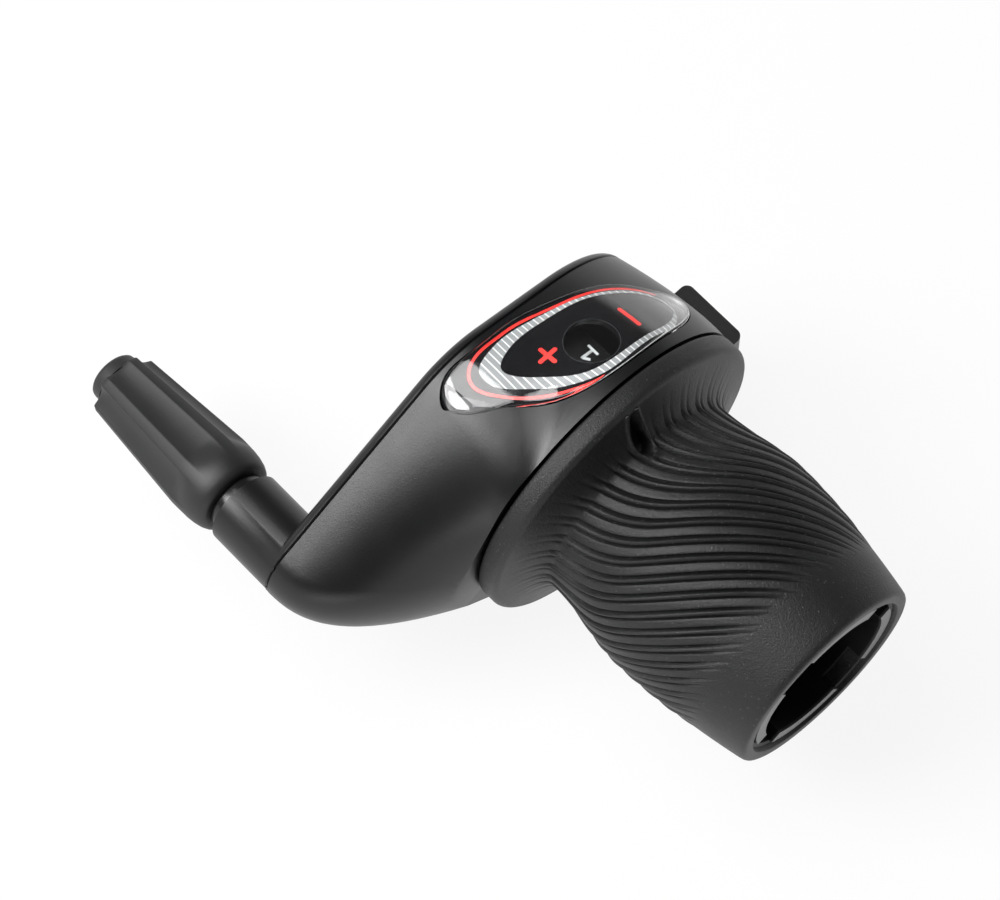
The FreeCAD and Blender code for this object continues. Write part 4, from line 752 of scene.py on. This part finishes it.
rubber_relief = add_node(moulded_rubber, "ShaderNodeBump", {}, {
    "Height": rubber_grain.outputs["Fac"], "Strength": 0.9, "Distance": RUBBER_RELIEF * MM,
})
moulded_rubber.node_tree.links.new(rubber_dusty.outputs[2], rubber_shader.inputs["Base Color"])
moulded_rubber.node_tree.links.new(rubber_gloss.outputs["Result"], rubber_shader.inputs["Roughness"])
moulded_rubber.node_tree.links.new(rubber_relief.outputs["Normal"], rubber_shader.inputs["Normal"])
rubber_shader.inputs["IOR"].default_value = 1.52
dress(sleeve, moulded_rubber, "grip", "grip_rubber", "grip_sleeve")

# Threaded parts of the adjuster: a brass insert in the elbow and a turned aluminium stem.
# The click collar between knob and elbow is moulded acetal and slides with the stem.
TOOL_MARK = 0.5
# Turned brass gives a warm yellow glint, broken by tool marks that are drawn coarser than real, to show.
turned_brass, brass_shader = new_material("turned_brass")
brass_place = add_node(turned_brass, "ShaderNodeTexCoord", {}, {})
brass_marks = add_node(turned_brass, "ShaderNodeTexNoise", {}, {
    "Vector": brass_place.outputs["Object"], "Scale": 1 / (TOOL_MARK * MM), "Detail": 3.0,
})
brass_gloss = add_node(turned_brass, "ShaderNodeMapRange", {}, {
    "Value": brass_marks.outputs["Fac"], "To Min": 0.2, "To Max": 0.38,
})
turned_brass.node_tree.links.new(brass_gloss.outputs["Result"], brass_shader.inputs["Roughness"])
brass_shader.inputs["Base Color"].default_value = linear("#c9a24f")
brass_shader.inputs["Metallic"].default_value = 1.0
insert = welded_copy("elbow_insert", "insert_brass_bush", angle=30)
dress(insert, turned_brass, "housing", "insert_brass", "elbow_insert")
# Turned aluminium gives the same dull, patchy grey as the zinc plate, so it starts from a copy of it.
stem_alloy = zinc_steel.copy()
stem_alloy.name = "turned_aluminium"
stem = welded_copy("adjuster_stem", "stem_alloy_tube", angle=30)
dress(stem, stem_alloy, "adjuster", "stem_metal", "adjuster_stem")
# Polished black acetal gives a tighter, brighter highlight than the satin plastic on either side of it.
gloss_acetal = satin_nylon("gloss_black_acetal", "#121213", "#171718", grit_mm=0.5, roughness=0.24)
# The adjuster's axis points outwards from the end of the elbow.
outlet = Vector((-0.98953816, 0.03801422, -0.1391731))
elbow_end = Vector((-22.978643, -41.009035, -2.214408))
side = Vector((0, 0, 1)).cross(outlet).normalized()
upward = outlet.cross(side).normalized()


def on_outlet(along, radius, turn):
    """Points in metres round the adjuster's axis, measured outwards from the end of the elbow."""
    spots = np.array(elbow_end) + np.array(outlet) * along[..., None]
    spots = spots + (radius * np.cos(turn))[..., None] * np.array(side)
    return (spots + (radius * np.sin(turn))[..., None] * np.array(upward)) * MM


RING_STEPS = 96
ring_path = np.array([
    (0.12, 2.7), (0.12, 4.55), (0.18, 4.7), (0.32, 4.79), (0.5, 4.8),
    (1.4, 4.8), (1.55, 4.78), (1.67, 4.7), (1.72, 4.55), (1.72, 2.7), (0.12, 2.7),
])
ring_turn = np.linspace(0, 2 * math.pi, RING_STEPS + 1)
ring_along = ring_path[:, 0][:, None] + 0 * ring_turn
ring_points = on_outlet(ring_along, ring_path[:, 1][:, None], ring_turn)
collar = sheet("click_ring", RING_STEPS, len(ring_path) - 1, ring_points)
dress(collar, gloss_acetal, "adjuster_slide", "collar_plastic", "click_collar")

# Adjuster knob: dark grey nylon, barrel shaped, with shallow flutes for the fingers and a round nose.
# The cable casing seats in its nose, and turning it winds the stem in and out.
KNOB_BODY, KNOB_FULL, KNOB_START, KNOB_STEP, KNOB_STEPS = 25.6, 6.5, 1.84, 0.6, 240
KNOB_R, KNOB_TIP_R = 6.79, 5.4
STEM_R, STEM_STOP, CABLE_R, CASING_R, CASING_STOP = 2.6, 6.1, 1.0, 2.56, 14.2
FLUTES, FLUTE_TURN, FLUTE_DEPTH, FLUTE_HALF, FLUTE_POWER = 6, math.radians(90), 0.95, 0.36, 0.8
FLUTE_START, FLUTE_RUN, FLUTED_R, FLUTED_FROM = 3.6, 3.4, 4.2, 2.0
# The knob's section runs from the stem's bore out over the body and the nose, and back through the bores.
knob_path = [
    (0.0, STEM_R), (0.0, 5.2), (0.12, 5.6), (0.5, 6.0), (1.2, 6.32), (2.3, 6.57), (3.6, 6.71), (5.0, 6.77),
]
for along in np.arange(KNOB_FULL, KNOB_BODY, KNOB_STEP):
    slimmer = (KNOB_R - KNOB_TIP_R) * (along - KNOB_FULL) / (KNOB_BODY - KNOB_FULL)
    knob_path.append((along, KNOB_R - slimmer))
knob_path += [
    (KNOB_BODY, KNOB_TIP_R), (25.78, 5.32), (25.88, 5.1), (25.95, 4.7), (26.1, 4.2), (26.2, 4.02),
    (26.5, 3.98), (27.6, 3.94), (28.0, 3.85), (28.24, 3.62), (28.36, 3.3), (28.4, 2.7),
    (28.3, CASING_R), (22.0, CASING_R), (CASING_STOP, CASING_R), (CASING_STOP, CABLE_R),
    (STEM_STOP, CABLE_R), (STEM_STOP, STEM_R), (0.0, STEM_R),
]
knob_path = np.array(knob_path)
knob_turn = np.linspace(0, 2 * math.pi, KNOB_STEPS + 1)
knob_along = knob_path[:, 0][:, None]
fluted = ((knob_path[:, 1] > FLUTED_R) & (knob_path[:, 0] > FLUTED_FROM))[:, None]
flute_phase = np.mod((knob_turn - FLUTE_TURN) * FLUTES / (2 * math.pi) + 0.5, 1) - 0.5
scoop = np.clip(1 - (flute_phase / FLUTE_HALF) ** 2, 0, 1) ** FLUTE_POWER
start = np.clip((knob_along - FLUTE_START) / FLUTE_RUN, 0, 1)
start = start * start * (3 - 2 * start)
knob_r = knob_path[:, 1][:, None] - np.where(fluted, FLUTE_DEPTH * scoop[None, :] * start, 0.0)
knob_points = on_outlet(knob_along + KNOB_START + 0 * knob_turn, knob_r, knob_turn)
knob = sheet("fluted_knob", KNOB_STEPS, len(knob_path) - 1, knob_points)
# Dark grey nylon gives a lighter, duller satin than the housing, with clouded tone along the flutes.
grey_nylon = satin_nylon("dark_grey_nylon", "#161718", "#2a2a2b", grit_mm=0.35, roughness=0.5)
dress(knob, grey_nylon, "adjuster", "knob_plastic", "adjuster_knob")

# Studio: a pale floor, soft lights and the camera at the photograph's viewing angle.
# The floor shows white to the camera and to reflections and keeps a faint shadow.
FLOOR_SIZE, FLOOR_GAP, PAPER_GLOW = 6.0, 0.2, 0.9
bpy.ops.object.select_all(action="DESELECT")
bpy.ops.mesh.primitive_plane_add(size=FLOOR_SIZE, location=(0, 0, cad_box[0][2] - FLOOR_GAP * MM))
floor = bpy.context.object
floor.name = "studio_floor"
# White paper gives an even white with no gloss, and takes a soft shadow.
floor_paper, paper_shader = new_material("white_paper")
paper_shader.inputs["Base Color"].default_value = linear("#f4f4f4")
paper_shader.inputs["Roughness"].default_value = 0.9
paper_rays = add_node(floor_paper, "ShaderNodeLightPath", {}, {})
paper_seen = add_node(floor_paper, "ShaderNodeMath", {"operation": "MAXIMUM"}, {
    0: paper_rays.outputs["Is Camera Ray"], 1: paper_rays.outputs["Is Glossy Ray"],
})
paper_through = add_node(floor_paper, "ShaderNodeMath", {"operation": "MAXIMUM"}, {
    0: paper_seen.outputs["Value"], 1: paper_rays.outputs["Is Transmission Ray"],
})
paper_glow = add_node(floor_paper, "ShaderNodeEmission", {}, {"Color": linear("#ffffff"), "Strength": 1.0})
paper_part = add_node(floor_paper, "ShaderNodeMath", {"operation": "MULTIPLY"}, {
    0: paper_through.outputs["Value"], 1: PAPER_GLOW,
})
paper_mix = add_node(floor_paper, "ShaderNodeMixShader", {}, {
    0: paper_part.outputs["Value"], 1: paper_shader.outputs["BSDF"], 2: paper_glow.outputs["Emission"],
})
paper_output = floor_paper.node_tree.nodes["Material Output"]
floor_paper.node_tree.links.new(paper_mix.outputs["Shader"], paper_output.inputs["Surface"])
floor.data.materials.append(floor_paper)

# The camera stands 700 mm away, its place measured from the seam, at the photograph's pixels to a millimetre.
CAMERA_TURN, CAMERA_RISE, CAMERA_FAR = math.radians(46.48525), math.radians(67.64972), 700.0
VIEW_ACROSS, VIEW_UP = -14.63322, 1.842549
PIXELS_PER_MM, IMAGE_WIDTH, SENSOR_WIDTH = 7.0493613, 1000, 36.0
right = Vector((math.cos(CAMERA_TURN), math.sin(CAMERA_TURN), 0))
back = Vector((
    math.sin(CAMERA_TURN) * math.cos(CAMERA_RISE), -math.cos(CAMERA_TURN) * math.cos(CAMERA_RISE),
    math.sin(CAMERA_RISE),
))
up = back.cross(right)
spot = right * VIEW_ACROSS + up * VIEW_UP + back * CAMERA_FAR + Vector((SEAM_X, 0, 0))
camera_data = bpy.data.cameras.new("studio_camera")
camera_data.sensor_fit = "HORIZONTAL"
camera_data.sensor_width = SENSOR_WIDTH
camera_data.lens = PIXELS_PER_MM * CAMERA_FAR / IMAGE_WIDTH * SENSOR_WIDTH
camera_data.clip_start = 0.01
camera = bpy.data.objects.new("studio_camera", camera_data)
bpy.context.collection.objects.link(camera)
turn = Matrix((right, up, back)).transposed().to_4x4()
camera.matrix_world = Matrix.Translation(spot * MM) @ turn
bpy.context.scene.camera = camera
for name, toward, distance, width, power in (
    ("key_softbox", right * -0.66 + up * 0.2 + back * 0.72, 0.6, 0.28, 3.5),
    ("top_softbox", right * -0.28 + up * 0.5 + back * 0.82, 0.75, 0.4, 2.5),
    ("low_softbox", right * -0.3 + up * -0.95 + back * 0.2, 0.6, 0.3, 0.9),
):
    lamp_data = bpy.data.lights.new(name, "AREA")
    lamp_data.shape = "SQUARE"
    lamp_data.size = width
    lamp_data.energy = power
    lamp = bpy.data.objects.new(name, lamp_data)
    bpy.context.collection.objects.link(lamp)
    direction = toward.normalized()
    lamp.location = direction * distance
    lamp.rotation_euler = direction.to_track_quat("Z", "Y").to_euler()
# The world is white to the camera, shows reflections a white wall low down, and lights the rest dimly.
DIM, WALL_TOP, WALL_FADE = 0.1, 0.12, 0.25
world = bpy.data.worlds.new("studio_world")
bpy.context.scene.world = world
world.use_nodes = True
backdrop = world.node_tree.nodes["Background"]
backdrop.inputs["Color"].default_value = linear("#ffffff")
sky_place = add_node(world, "ShaderNodeTexCoord", {}, {})
sky_rise = add_node(world, "ShaderNodeSeparateXYZ", {}, {0: sky_place.outputs["Generated"]})
sky_wall = add_node(world, "ShaderNodeMapRange", {}, {
    "Value": sky_rise.outputs["Z"],
    "From Min": WALL_TOP, "From Max": WALL_FADE, "To Min": 1.0, "To Max": DIM,
})
sky_rays = add_node(world, "ShaderNodeLightPath", {}, {})
sky_mirrored = add_node(world, "ShaderNodeMath", {"operation": "MAXIMUM"}, {
    0: sky_rays.outputs["Is Glossy Ray"], 1: sky_rays.outputs["Is Transmission Ray"],
})
sky_shown = add_node(world, "ShaderNodeMix", {"data_type": "FLOAT"}, {
    0: sky_mirrored.outputs["Value"], 2: DIM, 3: sky_wall.outputs["Result"],
})
sky_level = add_node(world, "ShaderNodeMath", {"operation": "MAXIMUM"}, {
    0: sky_shown.outputs[0], 1: sky_rays.outputs["Is Camera Ray"],
})
world.node_tree.links.new(sky_level.outputs["Value"], backdrop.inputs["Strength"])
bpy.context.scene.view_settings.view_transform = "Standard"
